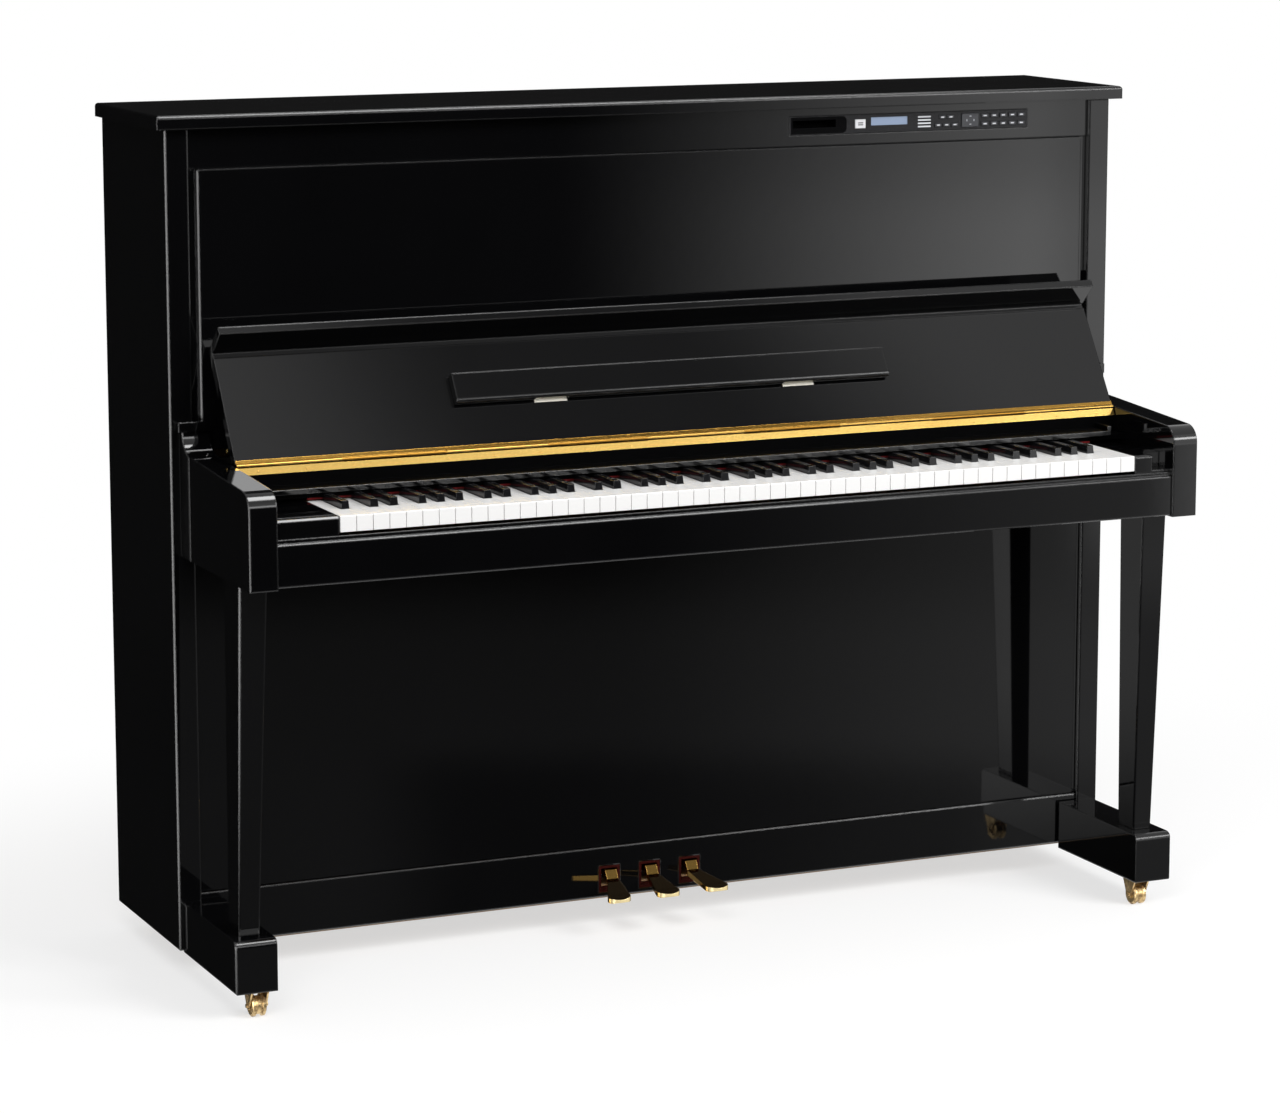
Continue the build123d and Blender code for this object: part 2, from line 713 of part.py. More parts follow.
def hinge_leaf(slope_point, width, moving):
    """One leaf of the long hinge with its knuckles; the fixed one holds the pin."""
    clear = BARREL_RADIUS + KNUCKLE_GAP
    leaf = leaf_plate(clear, width, slope_point, -FALL_HALF, FALL_HALF)
    bore = HINGE_PIN_RADIUS + PIN_CLEARANCE
    for x0, x1 in hinge_knuckles(moving):
        leaf += rod_x(BARREL_RADIUS, x0, x1, HINGE_Y, HINGE_Z)
        leaf += leaf_plate(BARREL_RADIUS / 2, clear + KNUCKLE_GAP, slope_point, x0, x1)
    if moving:
        return leaf - rod_x(bore, -FALL_HALF, FALL_HALF, HINGE_Y, HINGE_Z)
    return leaf + rod_x(HINGE_PIN_RADIUS, -FALL_HALF, FALL_HALF, HINGE_Y, HINGE_Z)


def nameboard_foot():
    """The (y, z) place where the lower leaf ends on the nameboard."""
    return lower_leaf_point(LEAF_LOWER, -LEAF_THICK / 2)


def nameboard_skirt():
    """The Y of the nameboard's skirt under the shelf, where the sharps end."""
    return nameboard_foot()[0] - SHELF_REACH + SHELF_UNDERCUT


def nameboard():
    """The fixed strip that carries the lower leaf, with a shelf over the backs of the sharps."""
    high = lower_leaf_point(BARREL_RADIUS + KNUCKLE_GAP, -LEAF_THICK / 2)
    low = nameboard_foot()
    skirt = nameboard_skirt()
    back = low[0] + NAMEBOARD_DEPTH
    outline = [
        high,
        low,
        (low[0], SHELF_BOTTOM),
        (skirt, SHELF_BOTTOM),
        (skirt, NAMEBOARD_BOTTOM),
        (back, NAMEBOARD_BOTTOM),
        (back, low[1]),
        (high[0] + BARREL_RADIUS, high[1] - BARREL_RADIUS),
    ]
    board = side_profile(outline, -ARM_INNER, ARM_INNER)
    front = low[0] - SHELF_REACH
    end = ARM_INNER - KEY_BLOCK_STEP
    top = SHELF_BOTTOM + SHELF_THICK
    board += block(-ARM_INNER, end, front, low[0], SHELF_BOTTOM, top)
    return board + block(end - SHELF_RETURN, end, front, low[0], top, top + SHELF_THICK)


def nameboard_felt():
    """The felt strip under the nameboard's skirt, behind the ends of the sharps."""
    y = nameboard_skirt()
    low = NAMEBOARD_BOTTOM - FELT_HANG
    return block(KEYBOARD_LEFT, KEYBOARD_RIGHT, y, y + FELT_THICK, low, NAMEBOARD_BOTTOM)


def desk_hinge_places():
    """The X of the two music desk hinges."""
    return [DESK_SHIFT - DESK_HINGE_X, DESK_SHIFT + DESK_HINGE_X]


def desk_pivot():
    """The (along, out) place of the music desk's pivot on the fallboard."""
    radius = DESK_THICK / 2
    return DESK_LOW + radius, SEAT_GAP + radius


def music_desk():
    """The flap on the fallboard that folds out to hold sheet music."""
    x0 = DESK_SHIFT - DESK_WIDTH / 2
    x1 = DESK_SHIFT + DESK_WIDTH / 2
    along, out = desk_pivot()
    radius = DESK_THICK / 2
    low = SEAT_GAP
    high = SEAT_GAP + DESK_THICK
    top = DESK_LOW + DESK_HEIGHT
    outline = [(along, low), (top - EDGE, low), (top, low + EDGE), (top, high - EDGE)]
    outline += [(top - EDGE, high), (along, high)]
    y, z = fall_point(along, out)
    flap = fall_profile(outline, x0, x1) + rod_x(radius, x0, x1, y, z)
    notch = DESK_HINGE_LENGTH / 2 + KNUCKLE_GAP
    reach = notch + DESK_PIN_REACH
    room = DESK_BARREL_RADIUS + KNUCKLE_GAP
    for x in desk_hinge_places():
        box = [(DESK_LOW - OVERCUT, low - OVERCUT), (along + room, low - OVERCUT)]
        box += [(along + room, out + room), (DESK_LOW - OVERCUT, out + room)]
        flap -= fall_profile(box, x - notch, x + notch)
        flap -= rod_x(DESK_PIN_RADIUS + PIN_CLEARANCE, x - reach, x + reach, y, z)
    return flap


def desk_hinge(x):
    """A small hinge: a foot on the fallboard, a barrel and a pin into the desk."""
    along, out = desk_pivot()
    y, z = fall_point(along, out)
    half = DESK_HINGE_LENGTH / 2
    reach = half + DESK_PIN_REACH
    foot = -LEAF_THICK / 2
    plate_low = DESK_LOW - DESK_PLATE_SHOW
    plate = [(plate_low, foot), (along, foot), (along, foot + LEAF_THICK)]
    plate += [(plate_low, foot + LEAF_THICK)]
    web = [(along - LEAF_THICK, foot), (along + LEAF_THICK, foot)]
    web += [(along + LEAF_THICK, out), (along - LEAF_THICK, out)]
    hinge = rod_x(DESK_BARREL_RADIUS, x - half, x + half, y, z)
    hinge += fall_profile(plate, x - half, x + half) + fall_profile(web, x - half, x + half)
    return hinge + rod_x(DESK_PIN_RADIUS, x - reach, x + reach, y, z)


# Lid hinges


def lid_hinge_axis():
    """The (y, z) place of the lid's pivot, behind its rear edge."""
    y = BACK - LID_REAR_SETBACK + BARREL_RADIUS + LID_HINGE_STANDOFF
    return y, CASE_TOP + BARREL_RADIUS + SEAT_GAP


def lid_hinge_places():
    """The X of the lid hinges."""
    return [LID_HINGE_INSET - INNER, 0, INNER - LID_HINGE_INSET]


def lid_hinge(x):
    """The fixed half of a lid hinge: a leaf on the top beam, two knuckles and the pin."""
    y, z = lid_hinge_axis()
    half = DESK_HINGE_LENGTH / 2
    third = DESK_HINGE_LENGTH / 3
    leaf_y = y + BARREL_RADIUS + KNUCKLE_GAP
    hinge = block(x - half, x + half, leaf_y, BACK, CASE_TOP, CASE_TOP + LEAF_THICK)
    for x0 in (x - half, x + third / 2 + KNUCKLE_GAP):
        x1 = x0 + third - KNUCKLE_GAP
        hinge += rod_x(BARREL_RADIUS, x0, x1, y, z)
        hinge += block(x0, x1, y, leaf_y + KNUCKLE_GAP, CASE_TOP, CASE_TOP + LEAF_THICK * 2)
    return hinge + rod_x(HINGE_PIN_RADIUS, x - half, x + half, y, z)


def lid_leaf(x):
    """The moving half of a lid hinge: a leaf on the lid's rear edge and a knuckle."""
    y, z = lid_hinge_axis()
    half = DESK_HINGE_LENGTH / 2
    third = DESK_HINGE_LENGTH / 3
    rear = BACK - LID_REAR_SETBACK
    low = z + BARREL_RADIUS + KNUCKLE_GAP
    leaf = block(x - half, x + half, rear, rear + LEAF_THICK, low, HEIGHT - LID_NOSE)
    x0 = x - third / 2
    x1 = x + third / 2
    leaf += rod_x(BARREL_RADIUS, x0, x1, y, z)
    leaf += block(x0, x1, rear, rear + LEAF_THICK, z, low)
    leaf += block(x0, x1, rear, y, z - LEAF_THICK / 2, z + LEAF_THICK / 2)
    return leaf - rod_x(HINGE_PIN_RADIUS + PIN_CLEARANCE, x0, x1, y, z)


# Control panel


def control_spot(x, rise):
    """A place on the control panel, from its left edge and its centre line."""
    return CONTROL_LEFT + x, CONTROL_CENTRE_Z + rise


def button_row(spot, rise, count, pitch, width, height):
    """Centres and sizes of a row of like buttons, spread about one spot."""
    first = spot - pitch * (count - 1) / 2
    return [(*control_spot(first + n * pitch, rise), width, height) for n in range(count)]


def power_button_places():
    """Centre and size of the square button beside the media slot."""
    return button_row(POWER_SPOT, 0, 1, 0, POWER_WIDTH, POWER_HEIGHT)


def menu_button_places():
    """Centres and sizes of the small buttons between the lamps and the cursor pad."""
    upper = button_row(MENU_SPOT, ROW_RISE, 2, MENU_PITCH, MENU_WIDTH, MENU_HEIGHT)
    return upper + button_row(MENU_SPOT, -ROW_RISE, 3, MENU_PITCH, MENU_WIDTH, MENU_HEIGHT)


def cursor_pad_places():
    """Centre and size of the cursor pad."""
    return button_row(PAD_SPOT, 0, 1, 0, PAD_WIDTH, PAD_HEIGHT)


def transport_button_places():
    """Centres and sizes of the playback buttons at the right."""
    upper = button_row(PLAY_SPOT, ROW_RISE, 5, PLAY_PITCH, PLAY_WIDTH, PLAY_HEIGHT)
    return upper + button_row(PLAY_SPOT, -ROW_RISE, 5, PLAY_PITCH, PLAY_WIDTH, PLAY_HEIGHT)


def button_hole(place, gap):
    """The X and Z limits of a button with some room round it."""
    x, z, width, height = place
    return x - width / 2 - gap, x + width / 2 + gap, z - height / 2 - gap, z + height / 2 + gap


def button(place):
    """A push button that stands out of the control panel and slides into it."""
    x0, x1, z0, z1 = button_hole(place, 0)
    body = block(x0, x1, CONTROL_FACE_Y - BUTTON_PROUD, CONTROL_FACE_Y + BUTTON_BACK, z0, z1)
    return chamfer(body.faces().sort_by(Axis.Y)[0].edges(), EDGE / 3)


def control_panel():
    """The bezel in the top rail, cut for the media slot, the display and the buttons."""
    low = CONTROL_CENTRE_Z - CONTROL_HEIGHT / 2
    high = low + CONTROL_HEIGHT
    bezel = block(CONTROL_LEFT, CONTROL_RIGHT, CONTROL_FACE_Y, CONTROL_BACK_Y, low, high)
    bezel = chamfer(bezel.faces().sort_by(Axis.Y)[0].edges(), CONTROL_PROUD / 2)
    front = CONTROL_FACE_Y - OVERCUT
    deep = CONTROL_FACE_Y + BUTTON_BACK + BUTTON_TRAVEL + BUTTON_GAP
    places = power_button_places() + menu_button_places()
    places += cursor_pad_places() + transport_button_places()
    for place in places:
        x0, x1, z0, z1 = button_hole(place, BUTTON_GAP)
        bezel -= block(x0, x1, front, deep, z0, z1)
    slot_x, slot_z = control_spot(SLOT_INSET, SLOT_RISE - SLOT_HEIGHT / 2)
    slot_back = CONTROL_BACK_Y - SLOT_BACK_WALL
    bezel -= block(slot_x, slot_x + SLOT_WIDTH, front, slot_back, slot_z, slot_z + SLOT_HEIGHT)
    x0, x1, z0, z1 = display_limits()
    return bezel - block(x0, x1, front, CONTROL_FACE_Y + BUTTON_PROUD, z0, z1)


def display_limits():
    """The X and Z limits of the display."""
    x, z = control_spot(DISPLAY_SPOT, DISPLAY_RISE)
    half = DISPLAY_WIDTH / 2
    return x - half, x + half, z - DISPLAY_HEIGHT / 2, z + DISPLAY_HEIGHT / 2


def display_window():
    """The flat window of the display, set a little below the bezel's face."""
    x0, x1, z0, z1 = display_limits()
    return block(x0, x1, CONTROL_FACE_Y + LEAF_THICK, CONTROL_FACE_Y + BUTTON_PROUD, z0, z1)


# Pedals


def pedal(x):
    """A pedal: a level bar through its slot, a step down and a broad toe; the outer two splay."""
    neck = PEDAL_NECK / 2
    half = PEDAL_THICK / 2
    thin = PEDAL_TOE_THICK / 2
    wide = PEDAL_TOE / 2
    toe_x = x + PEDAL_SPLAY * (x - PEDAL_SHIFT) / PEDAL_SPACING
    toe_y = PEDAL_TIP_Y + PEDAL_TOE_BULGE
    toe_z = PEDAL_PIVOT_Z - PEDAL_DROP
    step_y = RAIL_FACE_Y - PEDAL_NECK_OUT
    foot_y = step_y - PEDAL_STEP_RUN
    foot_z = PEDAL_PIVOT_Z - PEDAL_STEP
    path = [
        (PEDAL_TAIL_Y, PEDAL_PIVOT_Z - half),
        (PEDAL_TAIL_Y, PEDAL_PIVOT_Z + half),
        (step_y, PEDAL_PIVOT_Z + half),
        (foot_y, foot_z + half),
        (PEDAL_TIP_Y + half, toe_z + thin),
        (PEDAL_TIP_Y - OVERCUT, toe_z + thin - EDGE),
        (PEDAL_TIP_Y - OVERCUT, toe_z - thin + EDGE),
        (PEDAL_TIP_Y + half, toe_z - thin),
        (foot_y, foot_z - half),
        (step_y, PEDAL_PIVOT_Z - half),
    ]
    bar = side_profile(path, min(x, toe_x) - wide, max(x, toe_x) + wide)
    plan = [
        Line((x - neck, PEDAL_TAIL_Y), (x + neck, PEDAL_TAIL_Y)),
        Line((x + neck, PEDAL_TAIL_Y), (x + neck, foot_y)),
        Line((x + neck, foot_y), (toe_x + wide, toe_y)),
        ThreePointArc((toe_x + wide, toe_y), (toe_x, PEDAL_TIP_Y), (toe_x - wide, toe_y)),
        Line((toe_x - wide, toe_y), (x - neck, foot_y)),
        Line((x - neck, foot_y), (x - neck, PEDAL_TAIL_Y)),
    ]
    face = make_face(Wire(plan))
    face = fillet(face.vertices().group_by(Axis.Y)[0], PEDAL_TOE_ROUND)
    cutter = extrude(Pos(0, 0, BOARD_BOTTOM) * face, amount=PEDAL_SLOT_TOP)
    bore = PEDAL_PIN_RADIUS + PIN_CLEARANCE
    boss = rod_x(PEDAL_THICK, x - neck, x + neck, PEDAL_PIVOT_Y, PEDAL_PIVOT_Z)
    return (bar & cutter) + boss - rod_x(bore, x - wide, x + wide, PEDAL_PIVOT_Y, PEDAL_PIVOT_Z)


def pedal_bracket(x):
    """The stand of a pedal on the bottom board, with its pivot pin."""
    inside = PEDAL_NECK / 2 + KNUCKLE_GAP
    outside = inside + PEDAL_CHEEK
    half = PEDAL_THICK * 1.5
    top = PEDAL_PIVOT_Z + PEDAL_THICK
    base_top = BOARD_TOP + PEDAL_CHEEK
    y0 = PEDAL_PIVOT_Y - half
    y1 = PEDAL_PIVOT_Y + half
    stand = block(x - outside, x + outside, y0, y1, BOARD_TOP, base_top)
    for x0 in (x - outside, x + inside):
        stand += block(x0, x0 + PEDAL_CHEEK, y0, y1, BOARD_TOP, top)
    return stand + rod_x(PEDAL_PIN_RADIUS, x - outside, x + outside, PEDAL_PIVOT_Y, PEDAL_PIVOT_Z)


# Back, soundboard and iron plate


def back_frame():
    """Posts between a top and a bottom beam, and the pin block in front of the top beam."""
    top = block(-INNER, INNER, BEAM_FRONT, BACK, TOP_BEAM_BOTTOM, CASE_TOP)
    bottom = block(-INNER, INNER, BEAM_FRONT, BACK, BOARD_TOP, BOTTOM_BEAM_TOP)
    pieces = [top, bottom]
    spread = INNER * 2 - POST_WIDTH
    for n in range(POST_COUNT):
        x = -spread / 2 + n * spread / (POST_COUNT - 1)
        half = POST_WIDTH / 2
        post_front = BEAM_FRONT + RIB_DEPTH
        pieces.append(block(x - half, x + half, post_front, BACK, BOTTOM_BEAM_TOP, TOP_BEAM_BOTTOM))
    plate_back = PLATE_FACE_Y + PLATE_THICK
    pieces.append(
        block(-INNER, INNER, plate_back, BEAM_FRONT, TOP_BEAM_BOTTOM, CASE_TOP - PLATE_MARGIN)
    )
    return pieces


def soundboard():
    """A thin board with slanting ribs glued behind it and two bridges in front."""
    low = BOTTOM_BEAM_TOP
    high = TOP_BEAM_BOTTOM
    middle_z = (low + high) / 2
    rib_back = BEAM_FRONT + RIB_DEPTH
    room = block(-INNER, INNER, BEAM_FRONT, rib_back, low, high)
    pieces = [block(-INNER, INNER, SOUNDBOARD_FACE, BEAM_FRONT, low, high)]
    for n in range(RIB_COUNT):
        rise = (n - (RIB_COUNT - 1) / 2) * RIB_PITCH
        spot = Pos(0, (BEAM_FRONT + rib_back) / 2, middle_z + rise) * Rot(0, RIB_SLANT, 0)
        pieces.append((spot * Box(CASE_WIDTH * 2, RIB_DEPTH, RIB_WIDTH)) & room)
    bridge_front = PLATE_FACE_Y + PLATE_THICK
    bridge_y = (SOUNDBOARD_FACE + bridge_front) / 2
    depth = SOUNDBOARD_FACE - bridge_front
    spot = Pos(LONG_BRIDGE_X, bridge_y, middle_z) * Rot(0, LONG_BRIDGE_SLANT, 0)
    pieces.append(spot * Box(LONG_BRIDGE_LENGTH, depth, BRIDGE_WIDTH))
    spot = Pos(BASS_BRIDGE_X, bridge_y, middle_z - BASS_BRIDGE_DROP) * Rot(0, BASS_BRIDGE_SLANT, 0)
    pieces.append(spot * Box(BASS_BRIDGE_LENGTH, depth, BRIDGE_WIDTH))
    return pieces


def strut_places():
    """The X of the plate's struts, which stand in the breaks between string sections."""
    lower = (note_x(BASS_NOTES - 1) + note_x(BASS_NOTES)) / 2
    upper = (note_x(TENOR_END - 1) + note_x(TENOR_END)) / 2
    return [lower, upper]


def iron_plate():
    """The cast plate: a pin field above, windows between struts and a hitch field below."""
    back = PLATE_FACE_Y + PLATE_THICK
    half = INNER - PLATE_MARGIN
    foot = BOTTOM_BEAM_TOP - BOTTOM_BEAM_HEIGHT / 2
    plate = block(-half, half, PLATE_FACE_Y, back, foot, CASE_TOP - PLATE_MARGIN)
    plate += block(-half, half, back, BEAM_FRONT, foot, BOTTOM_BEAM_TOP - PLATE_MARGIN)
    edges = [-half + PLATE_MARGIN] + strut_places() + [half - PLATE_MARGIN]
    low = BOTTOM_BEAM_TOP + BOTTOM_BEAM_HEIGHT
    high = TOP_BEAM_BOTTOM - PLATE_MARGIN
    for x0, x1 in zip(edges, edges[1:]):
        outline = Rectangle(x1 - x0 - PLATE_MARGIN * 2, high - low)
        outline = fillet(outline.vertices(), PLATE_MARGIN)
        window = Plane.XZ.offset(-back - OVERCUT) * Pos((x0 + x1) / 2, (low + high) / 2) * outline
        plate -= extrude(window, amount=PLATE_THICK + OVERCUT * 2)
    rise = PLATE_FACE_Y - STRUT_RISE
    half = STRUT_WIDTH / 2
    for x in strut_places():
        plate += block(x - half, x + half, rise, PLATE_FACE_Y, low, PIN_TOP_Z)
    return plate


# Strings, tuning pins and action


def note_x(key):
    """The X of a note's hammer and string, with a break between the sections."""
    x = (key - (KEY_COUNT - 1) / 2) * NOTE_PITCH
    if key < BASS_NOTES:
        return x - SECTION_BREAK
    return x if key < TENOR_END else x + SECTION_BREAK


def tuning_pin_z(key):
    """The height of a tuning pin, in staggered rows."""
    return PIN_TOP_Z - (key % PIN_ROWS) * PIN_ROW_DROP


def string_x(key, z):
    """The X of a note's string at a height; bass strings slant across the others."""
    slant = BASS_SLANT if key < BASS_NOTES else 0
    return note_x(key) + (HAMMER_STRIKE_Z - z) * slant


def tuning_pin(key):
    """A tuning pin that stands out of the plate."""
    z = tuning_pin_z(key)
    centre = Plane.XZ.offset(-PLATE_FACE_Y) * Pos(string_x(key, z), z)
    return extrude(centre * RegularPolygon(TUNING_PIN_RADIUS, 6), amount=TUNING_PIN_LENGTH)


def string_place(key):
    """The Y and the radius of a note's string."""
    if key < BASS_NOTES:
        return BASS_STRING_Y, BASS_STRING_RADIUS
    return TENOR_STRING_Y, STRING_RADIUS


def string(key):
    """One note's string, from its tuning pin down to the hitch field."""
    y, radius = string_place(key)
    longest = TOP_BEAM_BOTTOM - BOTTOM_BEAM_TOP - BOTTOM_BEAM_HEIGHT - PLATE_MARGIN
    length = longest * 2 ** (-max(0, key - BASS_NOTES) / NOTES_PER_HALVING)
    top = tuning_pin_z(key) - TUNING_PIN_RADIUS - SEAT_GAP
    bottom = TOP_BEAM_BOTTOM - length
    high = Vector(string_x(key, top), y, top)
    low = Vector(string_x(key, bottom), y, bottom)
    wire = Plane(origin=low, z_dir=high - low)
    return extrude(wire * RegularPolygon(radius, 4), amount=(high - low).length)


def hammer():
    """A hammer at rest: butt at its pivot, shank and a felt head with a pointed nose."""
    back = HAMMER_NOSE_Y - HAMMER_HEAD
    shoulder = HAMMER_NOSE_Y - HAMMER_SHOULDER
    stem = back + HAMMER_TAIL
    half = HAMMER_HEAD_HEIGHT / 2
    z = HAMMER_STRIKE_Z
    head = [(back, z - half), (back, z + half), (shoulder, z + half), (HAMMER_NOSE_Y, z + EDGE)]
    head += [(HAMMER_NOSE_Y, z - EDGE), (shoulder, z - half)]
    thick = HAMMER_WIDTH / 4
    shank = [(HAMMER_PIVOT_Y - thick, HAMMER_PIVOT_Z), (HAMMER_PIVOT_Y + thick, HAMMER_PIVOT_Z)]
    shank += [(stem + thick, z), (stem - thick, z)]
    body = side_profile(head, -HAMMER_WIDTH / 2, HAMMER_WIDTH / 2)
    body += side_profile(shank, -thick, thick)
    butt = RegularPolygon(HAMMER_BUTT, 6, rotation=30)
    spot = Plane.YZ.offset(-HAMMER_WIDTH / 2) * Pos(HAMMER_PIVOT_Y, HAMMER_PIVOT_Z)
    return body + extrude(spot * butt, amount=HAMMER_WIDTH)


def damper(key):
    """A damper at rest: a lever on the damper rail and a pad against the string."""
    y, radius = string_place(key)
    back = y - radius - SEAT_GAP
    front = DAMPER_PIVOT_Y + DAMPER_LEVER
    half = DAMPER_LEVER / 2
    pad_low = DAMPER_PIVOT_Z + DAMPER_PAD * 1.5
    pad_high = pad_low + DAMPER_PAD
    outline = [
        (DAMPER_PIVOT_Y - half, DAMPER_PIVOT_Z - DAMPER_LEVER),
        (DAMPER_PIVOT_Y + half, DAMPER_PIVOT_Z - DAMPER_LEVER),
        (DAMPER_PIVOT_Y + half, pad_low),
        (back, pad_low),
        (back, pad_high),
        (front, pad_high),
        (front, pad_low + DAMPER_LEVER * 2),
        (DAMPER_PIVOT_Y - half, pad_low + DAMPER_LEVER),
    ]
    x = note_x(key)
    return side_profile(outline, x - HAMMER_WIDTH / 2, x + HAMMER_WIDTH / 2)


def action_frame():
    """Cast brackets on the key bed and the rails that carry hammers and dampers."""
    first = note_x(0) - BRACKET_END
    last = note_x(KEY_COUNT - 1) + BRACKET_END
    foot = KEY_REAR + BRACKET_FOOT_GAP
    butt = HAMMER_BUTT
    half = DAMPER_LEVER
    rail_top = HAMMER_PIVOT_Z - butt - SEAT_GAP
    nose_y = HAMMER_PIVOT_Y - BRACKET_REACH
    nose_z = HAMMER_STRIKE_Z - BRACKET_NOSE_DROP
    outline = [
        (foot, KEY_BED_TOP),
        (KEY_BED_REAR - half, KEY_BED_TOP),
        (KEY_BED_REAR - half * 2, DAMPER_PIVOT_Z),
        (DAMPER_PIVOT_Y + half, HAMMER_STRIKE_Z),
        (HAMMER_PIVOT_Y + butt, HAMMER_STRIKE_Z),
        (nose_y, nose_z),
        (nose_y, nose_z - BRACKET_NOSE),
        (HAMMER_PIVOT_Y + butt, HAMMER_PIVOT_Z + BRACKET_REACH),
        (HAMMER_PIVOT_Y - butt, rail_top - BRACKET_REACH),
        (foot, KEY_TOP + BRACKET_STEM),
    ]
    rail_low = rail_top - ACTION_RAIL_HEIGHT
    frame = block(first, last, HAMMER_PIVOT_Y - butt, HAMMER_PIVOT_Y + butt, rail_low, rail_top)
    top = DAMPER_PIVOT_Z - DAMPER_LEVER - SEAT_GAP
    low = top - ACTION_RAIL_HEIGHT
    frame += block(first, last, DAMPER_PIVOT_Y - half, DAMPER_PIVOT_Y + half, low, top)
    for x in [first, *strut_places(), last]:
        frame += side_profile(outline, x - BRACKET_THICK / 2, x + BRACKET_THICK / 2)
    return frame


# Files


def write_case():
    """The fixed pieces of the case and everything screwed to them."""
    save("side_right", case_side())
    save("side_left", mirrored(case_side()))
    save("lid", lid())
    save("toe_blocks", mirrored(toe_block()), toe_block())
    save("legs", mirrored(leg()), leg())
    save("arm_right", arm())
    save("arm_left", mirrored(arm()))
    save("key_bed", key_bed())
    save("key_slip", key_slip())
    save("key_blocks", *key_blocks())
    save("upper_panel", upper_panel())
    save("top_rail", top_rail())
    save("lower_panel", lower_panel())
    save("bottom_rail", bottom_rail())
    save("bottom_board", bottom_board())
    save("nameboard", nameboard())
    save("nameboard_felt", nameboard_felt())


def write_running_gear():
    """Casters, pedals and lid hinges."""
    places = caster_places()
    save("caster_forks", *[caster_fork(x, y) for x, y in places])
    for name, (x, y) in zip(("front_left", "front_right", "rear_left", "rear_right"), places):
        save(f"caster_wheel_{name}", caster_wheel(x, y))
    for name, x in zip(("soft", "practice", "sustain"), pedal_places()):
        save(f"pedal_{name}", pedal(x))
    save("pedal_brackets", *[pedal_bracket(x) for x in pedal_places()])
    save("lid_hinges", *[lid_hinge(x) for x in lid_hinge_places()])
    save("lid_hinge_leaves", *[lid_leaf(x) for x in lid_hinge_places()])


def write_fallboard():
    """The key cover, its hinge and the music desk."""
    save("fallboard", fallboard())
    save("fallboard_leaf", hinge_leaf(fall_point, LEAF_UPPER, True))
    save("fallboard_hinge", hinge_leaf(lower_leaf_point, LEAF_LOWER, False))
    save("music_desk", music_desk())
    save("music_desk_hinges", *[desk_hinge(x) for x in desk_hinge_places()])


def write_controls():
    """The control panel and its buttons."""
    save("control_panel", control_panel())
    save("display_window", display_window())
    save("power_button", *[button(p) for p in power_button_places()])
    save("menu_buttons", *[button(p) for p in menu_button_places()])
    save("cursor_pad", *[button(p) for p in cursor_pad_places()])
    save("transport_buttons", *[button(p) for p in transport_button_places()])


def write_keyboard():
    """The keys: bass and treble in groups, and a few single keys from middle C up."""
    save("key_frame", *key_frame())
    groups = {"bass": range(MIDDLE_C), "treble": range(MIDDLE_C + SINGLE_KEYS, KEY_COUNT)}
    for name, keys in groups.items():
        save(f"naturals_{name}", *[natural(k) for k in keys if not is_sharp(k)])
        save(f"sharps_{name}", *[sharp(k) for k in keys if is_sharp(k)])
        save(f"hammers_{name}", *[Pos(note_x(k), 0, 0) * hammer() for k in keys])
    for name, k in zip(("c4", "c_sharp_4", "d4"), range(MIDDLE_C, MIDDLE_C + SINGLE_KEYS)):
        save(f"key_{name}", sharp(k) if is_sharp(k) else natural(k))
        save(f"hammer_{name}", Pos(note_x(k), 0, 0) * hammer())


def write_inside():
    """Back, soundboard, plate, strings and the frame of the action."""
    save("back_frame", *back_frame())
    save("soundboard", *soundboard())
    save("iron_plate", iron_plate())
    save("tuning_pins", *[tuning_pin(k) for k in range(KEY_COUNT)])
    save("strings", *[string(k) for k in range(KEY_COUNT)])
    save("action_frame", action_frame())
    save("dampers", *[damper(k) for k in range(DAMPED_NOTES)])


os.makedirs("parts", exist_ok=True)
write_case()
write_running_gear()
write_fallboard()
write_controls()
write_keyboard()
write_inside()
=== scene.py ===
import json
from math import cos, pi, radians, sin

import bmesh
import bpy
from bpy.props import FloatProperty, FloatVectorProperty, IntProperty, PointerProperty
from bpy.types import Operator, Panel, PropertyGroup
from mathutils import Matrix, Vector


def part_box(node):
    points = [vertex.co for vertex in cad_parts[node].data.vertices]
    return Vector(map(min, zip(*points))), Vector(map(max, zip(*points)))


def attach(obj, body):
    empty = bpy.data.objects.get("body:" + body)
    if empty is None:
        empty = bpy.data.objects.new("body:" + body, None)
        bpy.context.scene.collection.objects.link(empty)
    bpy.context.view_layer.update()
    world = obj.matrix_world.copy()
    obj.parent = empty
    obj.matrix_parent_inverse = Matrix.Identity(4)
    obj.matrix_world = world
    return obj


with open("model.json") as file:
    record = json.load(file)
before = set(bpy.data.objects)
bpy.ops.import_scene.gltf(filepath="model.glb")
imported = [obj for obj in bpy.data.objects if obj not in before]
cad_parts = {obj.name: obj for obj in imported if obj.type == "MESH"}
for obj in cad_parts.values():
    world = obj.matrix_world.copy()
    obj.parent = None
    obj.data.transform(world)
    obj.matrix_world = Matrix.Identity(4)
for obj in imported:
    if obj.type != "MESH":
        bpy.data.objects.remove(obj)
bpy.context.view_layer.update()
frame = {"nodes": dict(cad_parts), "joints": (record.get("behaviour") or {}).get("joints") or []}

bl_info = {
    "name": "Upright piano",
    "version": (1, 0, 0),
    "blender": (4, 5, 0),
    "location": "3D View > Sidebar > Piano",
    "description": "Gives the packed upright piano its finishes, small fittings and studio",
    "category": "Object",
}

NODES = frame["nodes"]
SINGLE_KEYS = ("c4", "c_sharp_4", "d4")
SCREW_HEAD = {"Vertices": 14, "Radius Top": 0.36, "Radius Bottom": 0.5, "Depth": 1.0}
ONE_PIECE = {"Count": 1, "Step": (0, 0, 0), "Turn": (0, 0, 0)}


# Sizes and colours that a user may change


